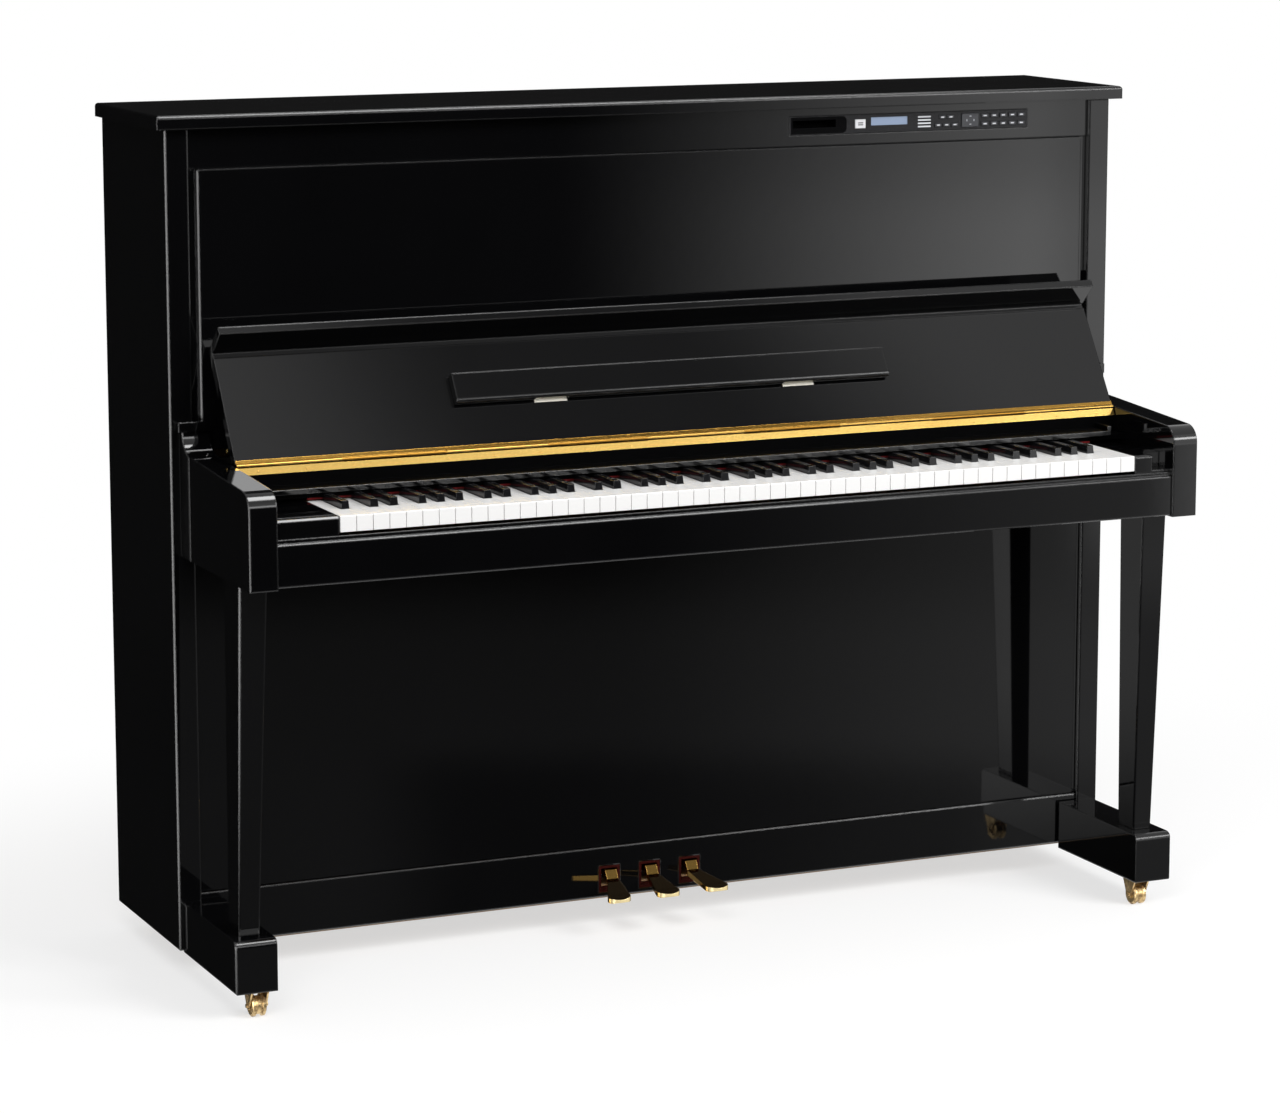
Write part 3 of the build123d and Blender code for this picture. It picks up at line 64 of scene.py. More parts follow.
def length(name, text, default):
    """A size in metres."""
    return FloatProperty(name=name, description=text, default=default, min=0, precision=5, unit="LENGTH")


def number(name, text, default):
    """A number of like fittings."""
    return IntProperty(name=name, description=text, default=default, min=2)


def angle(name, text, degrees):
    """An angle, written in degrees."""
    return FloatProperty(name=name, description=text, default=radians(degrees), unit="ROTATION")


def share(name, text, default):
    """A plain number."""
    return FloatProperty(name=name, description=text, default=default, min=0, precision=4)


def colour(name, text, default):
    """A linear colour."""
    return FloatVectorProperty(
        name=name, description=text, default=default, size=3, min=0, max=1, subtype="COLOR"
    )


def point(name, text, default):
    """A place in the row frame, in metres."""
    return FloatVectorProperty(name=name, description=text, default=default, size=3, subtype="TRANSLATION")


class PianoFinishes(PropertyGroup):
    """Colours of the piano's materials."""

    lacquer: colour("Lacquer", "Black polyester lacquer", (0.0011, 0.0011, 0.0013))
    lacquer_haze: colour("Lacquer haze", "Lacquer with a faint polishing haze", (0.0024, 0.0024, 0.0027))
    nameboard: colour("Nameboard", "Dull black behind the keys", (0.0002, 0.0002, 0.0002))
    key_white: colour("Natural keys", "Cover of the natural keys", (0.965, 0.96, 0.95))
    key_front: colour("Key fronts", "Front face of the natural keys", (0.85, 0.845, 0.835))
    key_black: colour("Sharp keys", "Cover of the sharp keys", (0.0035, 0.0035, 0.0040))
    key_wood: colour("Key wood", "Spruce sticks under the key covers", (0.60, 0.43, 0.25))
    key_wood_dark: colour("Key wood grain", "Late growth in the key sticks", (0.42, 0.27, 0.14))
    brass: colour("Brass", "Polished brass of hinges and pedals", (0.83, 0.56, 0.16))
    # Painted shade: a darker copy of the hinge brass for the fallboard's own leaf.
    brass_shaded: colour("Dull brass", "Fallboard's own leaf of the long hinge", (0.42, 0.235, 0.045))
    # Painted shade: a dark line along the long hinge's knuckle, between its leaves.
    knuckle_shade: colour("Grease", "Old grease in the long hinge's knuckle", (0.10, 0.045, 0.004))
    brass_warm: colour("Warm brass", "Brass where the lacquer over it has yellowed", (0.62, 0.36, 0.09))
    # Painted highlight: pale, half-matte brass on the pedal noses so the lamps light them bright.
    brass_highlight: colour("Worn brass", "Pedal noses, polished pale by use", (0.95, 0.78, 0.42))
    # Painted reflection: the pedals' tops darkened as if they mirrored the black lower panel.
    tread_reflection: colour("Tread", "Tops of the pedals, darkened by shoes", (0.17, 0.10, 0.030))
    nickel: colour("Nickel", "Plating of the music desk's hinges", (0.80, 0.77, 0.68))
    patina: colour("Patina", "Brown patina in the casters' corners", (0.20, 0.125, 0.055))
    caster: colour("Caster brass", "Aged brass of the casters", (0.66, 0.48, 0.24))
    steel: colour("Steel", "Bright steel", (0.60, 0.60, 0.62))
    blued_steel: colour("Blued steel", "Tuning pins", (0.16, 0.17, 0.20))
    copper: colour("Copper", "Windings of the bass strings", (0.62, 0.28, 0.14))
    plate_gold: colour("Plate gold", "Bronze paint on the iron plate", (0.56, 0.39, 0.15))
    beech: colour("Beech", "Posts, beams and beds", (0.58, 0.39, 0.22))
    beech_dark: colour("Beech grain", "Darker rays in the beech", (0.40, 0.24, 0.12))
    spruce: colour("Spruce", "Soundboard", (0.78, 0.58, 0.34))
    spruce_dark: colour("Spruce grain", "Late growth lines of the soundboard", (0.58, 0.38, 0.19))
    felt: colour("White felt", "Hammers and dampers", (0.80, 0.77, 0.70))
    felt_red: colour("Red felt", "Nameboard strip", (0.14, 0.010, 0.011))
    slot_red: colour("Slot lining", "Red-brown lining of the pedal slots", (0.030, 0.0035, 0.0025))
    plastic: colour("Dark plastic", "Bezel of the control panel", (0.006, 0.006, 0.007))
    drive: colour("Drive front", "Dull black front round the media slot", (0.0012, 0.0012, 0.0014))
    button: colour("Grey buttons", "Small buttons of the control panel", (0.030, 0.031, 0.035))
    silver: colour("Silver button", "Square button beside the media slot", (0.72, 0.72, 0.74))
    mark: colour("Button marks", "Pale marks on the buttons", (0.62, 0.63, 0.66))
    display: colour("Display", "Lit display window", (0.225, 0.285, 0.39))
    display_dark: colour("Display grid", "Grid between the display's dots", (0.125, 0.165, 0.25))


class PianoFittings(PropertyGroup):
    """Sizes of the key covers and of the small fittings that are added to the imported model."""

    nameboard_edge: length("Nameboard edge", "Depth of the nameboard's polished front edge", 0.0035)
    key_cover: length("Key cover", "Thickness of the covers on the natural keys", 0.0022)
    key_face: length("Key face", "Thickness of the covers on the natural keys' fronts", 0.0016)
    key_tip: length("Key tip", "Stretch at the natural keys' fronts that is covered to its foot", 0.03)
    sharp_drop: length("Sharp cover", "Foot of the sharps' covers under the naturals' tops", 0.006)
    cover_end: length("Cover end", "End of the key covers behind the nameboard's front", 0.014)
    hinge_screws: number("Hinge screws", "Screws in each leaf of the long hinge", 20)
    hinge_screw: length("Hinge screw", "Head diameter of the long hinge's screws", 0.0032)
    screw_rise: length("Screw head", "Height of the long hinge's screw heads", 0.0006)
    hinge_end: length("Hinge end", "First screw from the end of the long hinge", 0.030)
    fall_lean: angle("Fallboard lean", "Lean of the open fallboard from upright", 32.4)
    leaf_slope: angle("Leaf slope", "Slope of the fixed leaf from upright", 25.0)
    upper_screw_line: length("Upper screw line", "Screws from the pivot, along the upper leaf", 0.0061)
    lower_screw_line: length("Lower screw line", "Screws from the pivot, along the lower leaf", 0.0090)
    leaf_thick: length("Leaf thickness", "Thickness of the hinge leaves", 0.0012)
    menu_button: length("Menu button", "Width of a menu button", 0.0105)
    play_button: length("Playback button", "Width of a playback button", 0.011)
    button_share: share("Button share", "A button's height as a share of its bank", 0.3)
    lamp_width: length("Lamp width", "Width of a lamp bar on the control panel", 0.0215)
    lamp_height: length("Lamp height", "Height of a lamp bar", 0.0022)
    lamp_pitch: length("Lamp pitch", "Step between the lamp bars", 0.0048)
    lamp_left: length("Lamp place", "Lamp bars from the bezel's left end", 0.2125)
    posts: number("Back posts", "Posts of the back frame", 5)
    post_width: length("Back post", "Width of a back post", 0.070)
    bolt: length("Post bolt", "Head diameter of the bolts through the back posts", 0.022)
    bolt_rise: length("Bolt head", "Height of the post bolts' heads", 0.006)
    slot_felt: length("Slot lining", "Thickness of the lining in the pedal slots", 0.004)
    slot_set: length("Slot lining place", "Lining behind the bottom rail's face", 0.0004)
    slot_width: length("Pedal slot", "Width of a pedal slot", 0.034)
    slot_low: length("Slot foot", "Height of the slots' lower edge", 0.052)
    slot_high: length("Slot head", "Height of the slots' upper edge", 0.092)
    drive_left: length("Drive place", "Drive front from the bezel's left end", 0.003)
    drive_width: length("Drive width", "Width of the drive front", 0.091)
    drive_height: length("Drive height", "Height of the drive front", 0.0245)
    drive_round: length("Drive corner", "Corner radius at the drive front's right end", 0.007)
    media_left: length("Media slot place", "Media slot from the bezel's left end", 0.006)
    media_width: length("Media slot width", "Width of the media slot", 0.070)
    media_height: length("Media slot height", "Height of the media slot", 0.011)
    media_rise: length("Media slot rise", "Media slot over the bezel's middle", 0.002)
    board_thick: length("Dust board", "Thickness of the board behind the fallboard", 0.010)
    board_gap: length("Dust board gap", "Dust board from the nameboard's back", 0.001)
    board_drop: length("Dust board drop", "Dust board under the open fallboard's lowest edge", 0.003)
    mark_depth: length("Mark depth", "How far marks stand proud", 0.0003)
    stop: length("Stop", "Diameter of the fallboard's small stop on the left arm", 0.006)
    stop_back: length("Stop place", "Stop behind the fallboard's pivot", 0.0405)
    stop_rise: length("Stop rise", "Stop over the fallboard's pivot", 0.0156)


class PianoStudio(PropertyGroup):
    """Camera, lamps and floor."""

    camera: point("Camera", "Place of the camera", (-2.3985, -5.2312, 1.6143))
    yaw: angle("Yaw", "Camera's turn to the right", 24.326)
    pitch: angle("Pitch", "Camera's tilt upwards", -9.393)
    lens: share("Lens", "Focal length in millimetres", 112.62)
    shift: FloatProperty(name="Shift", description="Vertical lens shift", default=-0.0598, precision=4)
    ambient: share("Ambient", "Strength of the soft light from all round", 0.60)
    key_place: point("Key lamp place", "Place of the large lamp at the front right", (2.6, -3.6, 3.4))
    key_size: length("Key lamp size", "Width of the large lamp", 2.6)
    key_power: share("Key lamp", "Power of the large lamp", 240.0)
    fill_place: point("Fill lamp place", "Place of the lamp over the front left", (-2.2, -3.0, 3.8))
    fill_size: length("Fill lamp size", "Width of the fill lamp", 2.2)
    fill_power: share("Fill lamp", "Power of the fill lamp", 92.0)
    lamp_aim: point("Lamp aim", "Place over the keyboard that the lamps look at", (0, -0.1, 0.6))
    floor: colour("Floor", "Colour of the pale floor", (0.88, 0.88, 0.88))
    floor_glow: share("Floor glow", "Share of the floor's white that no shadow reaches", 0.62)
    softbox: share("Softbox", "Brightness of the softbox that the gloss shows", 2.65)
    band: share("Band", "Brightness of the band over the softbox", 1.2)
    edge: share("Edge strips", "Brightness of the strips at the left that draw the upright edges", 7.5)
    top: share("Top light", "Brightness of the light overhead that draws the level edges", 14.0)
    crest: share("Crest", "Brightness of the light along the softbox's top", 14.0)
    ground: share("Ground", "Brightness of the pale ground in front, as the gloss shows it", 0.10)
    flags: share("Flags", "Brightness of the dark flags round the piano", 0.012)


# Shader nodes


class Value:
    """A shader socket in plain arithmetic: each operator adds a Math node."""

    def __init__(self, finish, socket):
        self.finish = finish
        self.socket = socket

    def __add__(self, other):
        return self.finish.math("ADD", self, other)

    __radd__ = __add__

    def __sub__(self, other):
        return self.finish.math("SUBTRACT", self, other)

    def __rsub__(self, other):
        return self.finish.math("SUBTRACT", other, self)

    def __mul__(self, other):
        return self.finish.math("MULTIPLY", self, other)

    __rmul__ = __mul__

    def __gt__(self, other):
        return self.finish.math("GREATER_THAN", self, other)

    def __lt__(self, other):
        return self.finish.math("LESS_THAN", self, other)

    def __or__(self, other):
        return self.finish.math("MAXIMUM", self, other)

    def __abs__(self):
        return self.finish.math("ABSOLUTE", self)


class Finish:
    """The node tree of one material or of the world."""

    def __init__(self, owner):
        owner.use_nodes = True
        self.owner = owner
        self.tree = owner.node_tree
        self.tree.nodes.clear()
        self.place = self.add("ShaderNodeTexCoord", {}, {}, "Object")

    def add(self, kind, settings, sockets, out=0):
        """Adds a node: its settings first, then the values or links of its sockets."""
        node = self.tree.nodes.new(kind)
        for name, value in settings.items():
            setattr(node, name, value)
        for name, value in sockets.items():
            if isinstance(value, Value):
                self.tree.links.new(value.socket, node.inputs[name])
            else:
                node.inputs[name].default_value = value
        return Value(self, node.outputs[out]) if len(node.outputs) else None

    def math(self, operation, first, second=0.0):
        """A Math node."""
        return self.add("ShaderNodeMath", {"operation": operation}, {0: first, 1: second})

    def axis(self, letter):
        """One Object coordinate, in metres."""
        return self.add("ShaderNodeSeparateXYZ", {}, {"Vector": self.place}, letter)

    def facing(self, letter):
        """One part of the surface's normal."""
        normal = self.add("ShaderNodeNewGeometry", {}, {}, "Normal")
        return self.add("ShaderNodeSeparateXYZ", {}, {"Vector": normal}, letter)

    def noise(self, scale, detail=2.0, stretch=(1, 1, 1), turn=(0, 0, 0)):
        """Smooth noise; a stretch under 1 draws it out along that axis."""
        spot = self.add("ShaderNodeMapping", {}, {"Vector": self.place, "Rotation": turn, "Scale": stretch})
        return self.add("ShaderNodeTexNoise", {}, {"Vector": spot, "Scale": scale, "Detail": detail})

    def grain(self, scale, detail, stretch, turn=(0, 0, 0)):
        """Growth lines of wood."""
        return self.ramp(self.noise(scale, detail, stretch, turn), 0.35, 0.65)

    def wave(self, letter, scale):
        """Even bands across one axis."""
        sockets = {"Vector": self.place, "Scale": scale}
        return self.add("ShaderNodeTexWave", {"bands_direction": letter}, sockets, 1)

    def ramp(self, value, low, high):
        """0 below low, 1 above high, smooth between."""
        settings = {"interpolation_type": "SMOOTHSTEP"}
        return self.add("ShaderNodeMapRange", settings, {"Value": value, "From Min": low, "From Max": high})

    def window(self, value, rise, fall):
        """1 from a smooth rise to a smooth fall, each given by its two ends, and 0 outside."""
        return self.ramp(value, *rise) * (1 - self.ramp(value, *fall))

    def mix(self, factor, first, second):
        """A colour between two others."""
        first = first if isinstance(first, Value) else (*first, 1)
        second = second if isinstance(second, Value) else (*second, 1)
        return self.add("ShaderNodeMix", {"data_type": "RGBA"}, {0: factor, 6: first, 7: second}, 2)

    def soft_edge(self, radius):
        """A normal that rounds the edges."""
        return self.add("ShaderNodeBevel", {"samples": 4}, {"Radius": radius})

    def bump(self, height, strength, distance, normal=None):
        """A bumped normal."""
        sockets = {"Height": height, "Strength": strength, "Distance": distance}
        if normal:
            sockets["Normal"] = normal
        return self.add("ShaderNodeBump", {}, sockets)

    def principled(self, sockets):
        """A principled shader."""
        return self.add("ShaderNodeBsdfPrincipled", {}, sockets)

    def blend(self, factor, first, second):
        """The first shader where the factor is 0 and the second where it is 1."""
        return self.add("ShaderNodeMixShader", {}, {0: factor, 1: first, 2: second})

    def surface(self, sockets):
        """Ends the tree in a principled shader."""
        return self.end(self.principled(sockets))

    def end(self, shader):
        """Ends the tree in a shader."""
        kind = "World" if isinstance(self.owner, bpy.types.World) else "Material"
        self.add("ShaderNodeOutput" + kind, {}, {"Surface": shader})
        return self.owner


def new_finish(name):
    """An empty material."""
    return Finish(bpy.data.materials.new(name))


def toned(tone, factor):
    """A colour made darker or brighter."""
    return [factor * part for part in tone]


def paint(material, *names):
    """Gives CAD nodes a material."""
    for name in names:
        mesh = NODES[name].data
        mesh.materials.clear()
        mesh.materials.append(material)


# Finishes


def lacquer(colours):
    """Deep black lacquer with a faint polishing haze and softened edges."""
    f = new_finish("black_lacquer")
    haze = f.noise(5, 3)
    hairline = f.noise(700, 2, (1, 1, 0.02))
    peel = f.noise(45, 1)
    return f.surface({
        "Base Color": f.mix(haze, colours.lacquer, colours.lacquer_haze),
        "Roughness": 0.02 + 0.02 * haze + 0.02 * hairline,
        "Normal": f.bump(peel, 0.03, 0.0004, f.soft_edge(0.0030)),
        "Specular IOR Level": 0.5,
    })


def nameboard_finish(colours, sizes):
    """Satin black behind a polished front edge."""
    f = new_finish("nameboard_black")
    rub = f.noise(300, 3, (0.1, 1, 1))
    front = f.axis("Y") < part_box("nameboard")[0][1] + sizes.nameboard_edge
    sockets = {"Base Color": f.mix(rub, colours.nameboard, colours.lacquer), "Normal": f.soft_edge(0.002)}
    satin = f.principled({**sockets, "Roughness": 0.5 + 0.1 * rub, "Specular IOR Level": 0.02})
    polished = f.principled({**sockets, "Roughness": 0.07 + 0.05 * rub, "Specular IOR Level": 0.9})
    return f.end(f.blend(front, satin, polished))


def timber(name, light, dark, grain, pitch, turn=(0, 0, 0)):
    """Bare wood: growth lines drawn out along the grain, pores and a slow change of tone."""
    f = new_finish(name)
    lines = f.grain(pitch, 4, grain, turn)
    pores = f.noise(pitch * 6, 2, grain, turn)
    tone = f.noise(3, 2)
    wood = f.mix(0.55 * lines + 0.25 * pores + 0.2 * tone, light, dark)
    return f.surface({
        "Base Color": wood,
        "Roughness": 0.48 + 0.2 * pores,
        "Normal": f.bump(lines + pores, 0.25, 0.0006, f.soft_edge(0.001)),
    })


def frame_timber(colours):
    """Beech with its grain up the posts and along the beams."""
    f = new_finish("back_beech")
    low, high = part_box("soundboard")
    height = f.axis("Z")
    post = (height > low[2]) * (height < high[2])
    upright = f.grain(90, 4, (1, 1, 0.04))
    level = f.grain(90, 4, (0.04, 1, 1))
    grain = upright * post + level * (1 - post)
    pores = f.noise(600, 2, (1, 1, 0.2))
    return f.surface({
        "Base Color": f.mix(0.6 * grain + 0.3 * pores, colours.beech, colours.beech_dark),
        "Roughness": 0.5 + 0.2 * pores,
        "Normal": f.bump(grain + pores, 0.25, 0.0006, f.soft_edge(0.0015)),
    })


def key_sticks(f, colours):
    """Colour of the wooden sticks under the key covers."""
    return f.mix(f.grain(160, 3, (1, 0.05, 1)), colours.key_wood, colours.key_wood_dark)


def natural_key(colours, sizes):
    """White cover on top and front, wood at the sides and behind the nameboard."""
    f = new_finish("natural_key")
    low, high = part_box("naturals_bass")
    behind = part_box("nameboard")[0][1] + sizes.cover_end
    y = f.axis("Y")
    front = y < low[1] + sizes.key_face
    tip = y < low[1] + sizes.key_tip
    cover = (tip | (f.axis("Z") > high[2] - sizes.key_cover)) * (y < behind)
    cloud = f.noise(30, 2)
    white = f.mix(cloud * 0.5, colours.key_white, toned(colours.key_white, 0.96))
    white = f.mix(front, white, colours.key_front)
    return f.surface({
        "Base Color": f.mix(cover, key_sticks(f, colours), white),
        "Roughness": 0.55 - 0.43 * cover + 0.06 * cloud,
        "Normal": f.bump(f.noise(400, 2), 0.02, 0.0002, f.soft_edge(0.0009)),
    })


def sharp_key(colours, sizes):
    """Black satin cover on a wooden stick."""
    f = new_finish("sharp_key")
    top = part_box("naturals_bass")[1][2]
    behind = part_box("nameboard")[0][1] + sizes.cover_end
    cover = (f.axis("Z") > top - sizes.sharp_drop) * (f.axis("Y") < behind)
    rub = f.noise(220, 3, (1, 0.15, 1))
    black = f.mix(rub, colours.key_black, toned(colours.key_black, 1.8))
    return f.surface({
        "Base Color": f.mix(cover, key_sticks(f, colours), black),
        "Roughness": 0.6 - 0.52 * cover + 0.06 * rub,
        "Normal": f.bump(rub, 0.05, 0.0002, f.soft_edge(0.0012)),
    })


def hinge_brass(name, colours, tone):
    """Lacquered brass drawn along the hinge, warmer in patches, with painted shade darkening the knuckle."""
    f = new_finish(name)
    lines = f.noise(900, 2, (0.02, 1, 1))
    warm = f.ramp(f.noise(6, 2), 0.4, 0.8)
    pivot = joint_place("fallboard_hinge")
    y, z = f.axis("Y") - pivot.y, f.axis("Z") - pivot.z
    # Painted shade: the knuckle between the leaves is darkened towards the shade colour.
    knuckle = 0.85 * (1 - f.ramp(f.math("SQRT", y * y + z * z), 0.0028, 0.0036))
    gold = f.mix(0.4 * warm + 0.2 * lines, tone, colours.brass_warm)
    return f.surface({
        "Base Color": f.mix(knuckle, gold, colours.knuckle_shade),
        "Metallic": 1.0,
        "Roughness": 0.1 + 0.08 * lines,
        "Normal": f.bump(lines, 0.08, 0.0002, f.soft_edge(0.0008)),
    })


def pedal_brass(colours):
    """Mirror-bright brass, with a painted dark reflection on the tread and a painted highlight on the toe's
    nose.
    """
    f = new_finish("pedal_brass")
    lines = f.noise(900, 2, (1, 0.05, 1))
    toe = f.axis("Y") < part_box("pedal_practice")[0][1] + 0.02
    # Painted highlight on the toe's forward faces: pale colour and less metal there.
    nose = f.ramp(0 - f.facing("Y"), 0.55, 0.85) * toe
    # Painted dark reflection on the upward faces of the pedals.
    tread_reflection = f.ramp(f.facing("Z"), 0.90, 0.97)
    gold = f.mix(lines * 0.4, colours.brass_warm, colours.brass)
    gold = f.mix(tread_reflection, gold, colours.tread_reflection)
    return f.surface({
        "Base Color": f.mix(nose, gold, colours.brass_highlight),
        "Metallic": 1 - 0.75 * nose,
        "Roughness": 0.06 + 0.05 * lines + 0.12 * nose,
        "Normal": f.bump(lines, 0.05, 0.0002, f.soft_edge(0.0016)),
    })


def caster_brass(colours):
    """Aged brass with brown patina in its hollows."""
    f = new_finish("caster_brass")
    stain = f.ramp(f.noise(120, 4), 0.42, 0.68)
    speck = f.noise(900, 2)
    return f.surface({
        "Base Color": f.mix(stain, colours.caster, colours.patina),
        "Metallic": 1.0 - 0.35 * stain,
        "Roughness": 0.28 + 0.3 * stain + 0.08 * speck,
        "Normal": f.bump(stain + speck, 0.2, 0.0003, f.soft_edge(0.0007)),
    })


def bright_steel(name, tone, rough, metal=1.0):
    """Drawn or milled steel with fine lines."""
    f = new_finish(name)
    lines = f.noise(1200, 2, (0.05, 1, 1))
    return f.surface({
        "Base Color": f.mix(lines, tone, toned(tone, 0.8)),
        "Metallic": metal,
        "Roughness": rough + 0.14 * lines,
        "Normal": f.bump(lines, 0.1, 0.0002, f.soft_edge(0.0005)),
    })


def piano_wire(colours):
    """Steel wire, wound with copper in the bass."""
    f = new_finish("piano_wire")
    low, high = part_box("strings")
    bass = f.axis("X") < low[0] + 0.3 * (high[0] - low[0])
    winding = f.wave("Z", 300.0)
    return f.surface({
        "Base Color": f.mix(bass, colours.steel, colours.copper),
        "Metallic": 1.0,
        "Roughness": 0.25 + 0.1 * winding,
        "Normal": f.bump(winding * bass, 0.3, 0.0002),
    })


def iron_plate(colours):
    """Bronze paint over sand-cast iron."""
    f = new_finish("plate_bronze")
    sand = f.noise(500, 3)
    tone = f.noise(12, 3)
    return f.surface({
        "Base Color": f.mix(tone, colours.plate_gold, toned(colours.plate_gold, 0.75)),
        "Metallic": 0.65,
        "Roughness": 0.36 + 0.2 * sand,
        "Normal": f.bump(sand, 0.25, 0.0005, f.soft_edge(0.002)),
    })


def felt(name, tone, sheen=0.3):
    """Pressed wool felt with a soft, fibrous face."""
    f = new_finish(name)
    fibre = f.noise(1500, 4)
    clump = f.noise(160, 3)
    return f.surface({
        "Base Color": f.mix(0.5 * fibre + 0.4 * clump, tone, toned(tone, 0.62)),
        "Roughness": 0.85 + 0.12 * fibre,
        "Normal": f.bump(fibre + clump, 0.5, 0.0006),
        "Sheen Weight": sheen,
        "Specular IOR Level": 0.1,
    })


def action_wood(name, node, colours, split):
    """Felt beyond a split along the piece, and maple before it."""
    f = new_finish(name)
    low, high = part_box(node)
    letter, place = split
    side = "XYZ".index(letter)
    wool = f.axis(letter) > low[side] + place * (high[side] - low[side])
    fibre = f.noise(1200, 3)
    grain = f.grain(220, 3, (1, 1, 0.08))
    maple = f.mix(grain, colours.key_wood, colours.key_wood_dark)
    white = f.mix(fibre * 0.5, colours.felt, toned(colours.felt, 0.7))
    return f.surface({
        "Base Color": f.mix(wool, maple, white),
        "Roughness": 0.5 + 0.35 * wool + 0.1 * fibre,
        "Normal": f.bump(fibre * wool + grain * (1 - wool), 0.3, 0.0005),
    })


def moulded(f, tone, rough, gloss):
    """Sockets of moulded plastic with a fine spark-eroded grain."""
    grain = f.noise(2200, 2)
    return {
        "Base Color": f.mix(f.noise(40, 2), tone, toned(tone, 0.82)),
        "Roughness": rough + 0.1 * grain,
        "Normal": f.bump(grain, 0.12, 0.0002, f.soft_edge(0.0005)),
        "Specular IOR Level": gloss,
    }


def moulded_plastic(name, tone, rough, gloss=0.5):
    """Moulded plastic of one tone."""
    f = new_finish(name)
    return f.surface(moulded(f, tone, rough, gloss))


def media_slot(sizes):
    """Two opposite corners of the media slot, on the bezel's face."""
    low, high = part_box("control_panel")
    left = low[0] + sizes.media_left
    level = (low[2] + high[2]) / 2 + sizes.media_rise
    half = sizes.media_height / 2
    return (left, low[1], level - half), (left + sizes.media_width, low[1], level + half)


def bezel_plastic(colours, sizes):
    """Dark moulded plastic, with painted shade inside the media slot: a dead black there."""
    f = new_finish("bezel_plastic")
    low, high = media_slot(sizes)
    slack = sizes.mark_depth
    inside = f.axis("Y") > low[1] + 2 * slack
    for letter, side in (("X", 0), ("Z", 2)):
        place = f.axis(letter)
        inside = inside * (place > low[side] - slack) * (place < high[side] + slack)
    face = f.principled(moulded(f, colours.plastic, 0.22, 0.3))
    # Painted shade: the inside of the media slot is a dead black diffuse.
    dark = f.add("ShaderNodeBsdfDiffuse", {}, {"Color": (0.002, 0.002, 0.002, 1)})
    return f.end(f.blend(inside, face, dark))


def display_glass(colours):
    """A lit dot display behind its window."""
    f = new_finish("display_glass")
    low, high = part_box("display_window")
    rows = f.wave("Z", 260.0)
    columns = f.wave("X", 260.0)
    glow = f.ramp(f.axis("Z"), low[2] - 0.006, high[2])
    dots = (rows * columns * 0.5 + 0.5) * (0.6 + 0.4 * glow)
    tone = f.mix(dots, colours.display_dark, colours.display)
    return f.surface({
        "Base Color": tone,
        "Roughness": 0.12 + 0.05 * rows,
        "Emission Color": tone,
        "Emission Strength": 0.35,
    })


# Small fittings


def new_object(name, data):
    """A new object at the origin."""
    obj = bpy.data.objects.new(name, data)
    bpy.context.scene.collection.objects.link(obj)
    return obj


def fit(obj, body, material=None):
    """Makes a finished piece ride on a body and take its slot's finish."""
    if material:
        obj.data.materials.clear()
        obj.data.materials.append(material)
    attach(obj, body)


def row_tree(name, shape):
    """A node tree that sets like fittings in a row: tapered heads or plain bars."""
    tree = bpy.data.node_groups.new(name, "GeometryNodeTree")
    tree.is_modifier = True
    tree.interface.new_socket("Geometry", in_out="OUTPUT", socket_type="NodeSocketGeometry")
    vectors = dict.fromkeys(("Start", "Step", "Turn", "Size"), "Vector")
    for label, kind in {"Count": "Int", **vectors, "Finish": "Material"}.items():
        tree.interface.new_socket(label, in_out="INPUT", socket_type="NodeSocket" + kind)
    new = tree.nodes.new
    given = new("NodeGroupInput")
    line = new("GeometryNodeMeshLine")
    place = new("GeometryNodeInstanceOnPoints")
    real = new("GeometryNodeRealizeInstances")
    finish = new("GeometryNodeSetMaterial")
    if shape == "head":
        piece = new("GeometryNodeMeshCone")
        for label, value in SCREW_HEAD.items():
            piece.inputs[label].default_value = value
    else:
        piece = new("GeometryNodeMeshCube")
    links = (
        (given, "Count", line, "Count"), (given, "Start", line, "Start Location"),
        (given, "Step", line, "Offset"), (line, "Mesh", place, "Points"), (piece, "Mesh", place, "Instance"),
        (given, "Turn", place, "Rotation"), (given, "Size", place, "Scale"),
        (place, "Instances", real, "Geometry"), (real, "Geometry", finish, "Geometry"),
        (given, "Finish", finish, "Material"), (finish, "Geometry", new("NodeGroupOutput"), "Geometry"),
    )
    for source, output, target, socket in links:
        tree.links.new(source.outputs[output], target.inputs[socket])
    return tree


def row(name, tree, values, body):
    """One plain mesh from a row tree, riding on a body: one unturned piece unless the values say more."""
    maker = new_object(name + "_maker", bpy.data.meshes.new(name + "_maker"))
    modifier = maker.modifiers.new("row", "NODES")
    modifier.node_group = tree
    sockets = {item.name: item.identifier for item in tree.interface.items_tree if item.in_out == "INPUT"}
    for label, value in {**ONE_PIECE, **values}.items():
        modifier[sockets[label]] = value
    graph = bpy.context.evaluated_depsgraph_get()
    mesh = bpy.data.meshes.new_from_object(maker.evaluated_get(graph), depsgraph=graph)
    maker.modifiers.remove(modifier)
    bpy.data.objects.remove(maker)
    if not mesh.polygons:
        raise RuntimeError(name + " is empty")
    mesh.name = name
    fit(new_object(name, mesh), body)


def joint_place(name):
    """Where a joint's axis stands, in metres."""
    for joint in frame["joints"]:
        if joint["name"] == name:
            return Vector(joint["pos_m"])
    raise RuntimeError("no joint " + name)


def shape_mesh(name, shape):
    """A mesh from a finished bmesh, which is freed."""
    mesh = bpy.data.meshes.new(name)
    shape.to_mesh(mesh)
    shape.free()
    return mesh


def hollow(shape, outer, inner, front, back):
    """Adds a wall between two outlines in XZ, from a front to a back in Y, to a bmesh."""
    rings = []
    for outline, y in ((outer, front), (inner, front), (inner, back), (outer, back)):
        rings.append([shape.verts.new((x, y, z)) for x, z in outline])
    for first, second in zip(rings, rings[1:] + rings[:1]):
        for n in range(len(first)):
            shape.faces.new((first[n], first[n - 1], second[n - 1], second[n]))


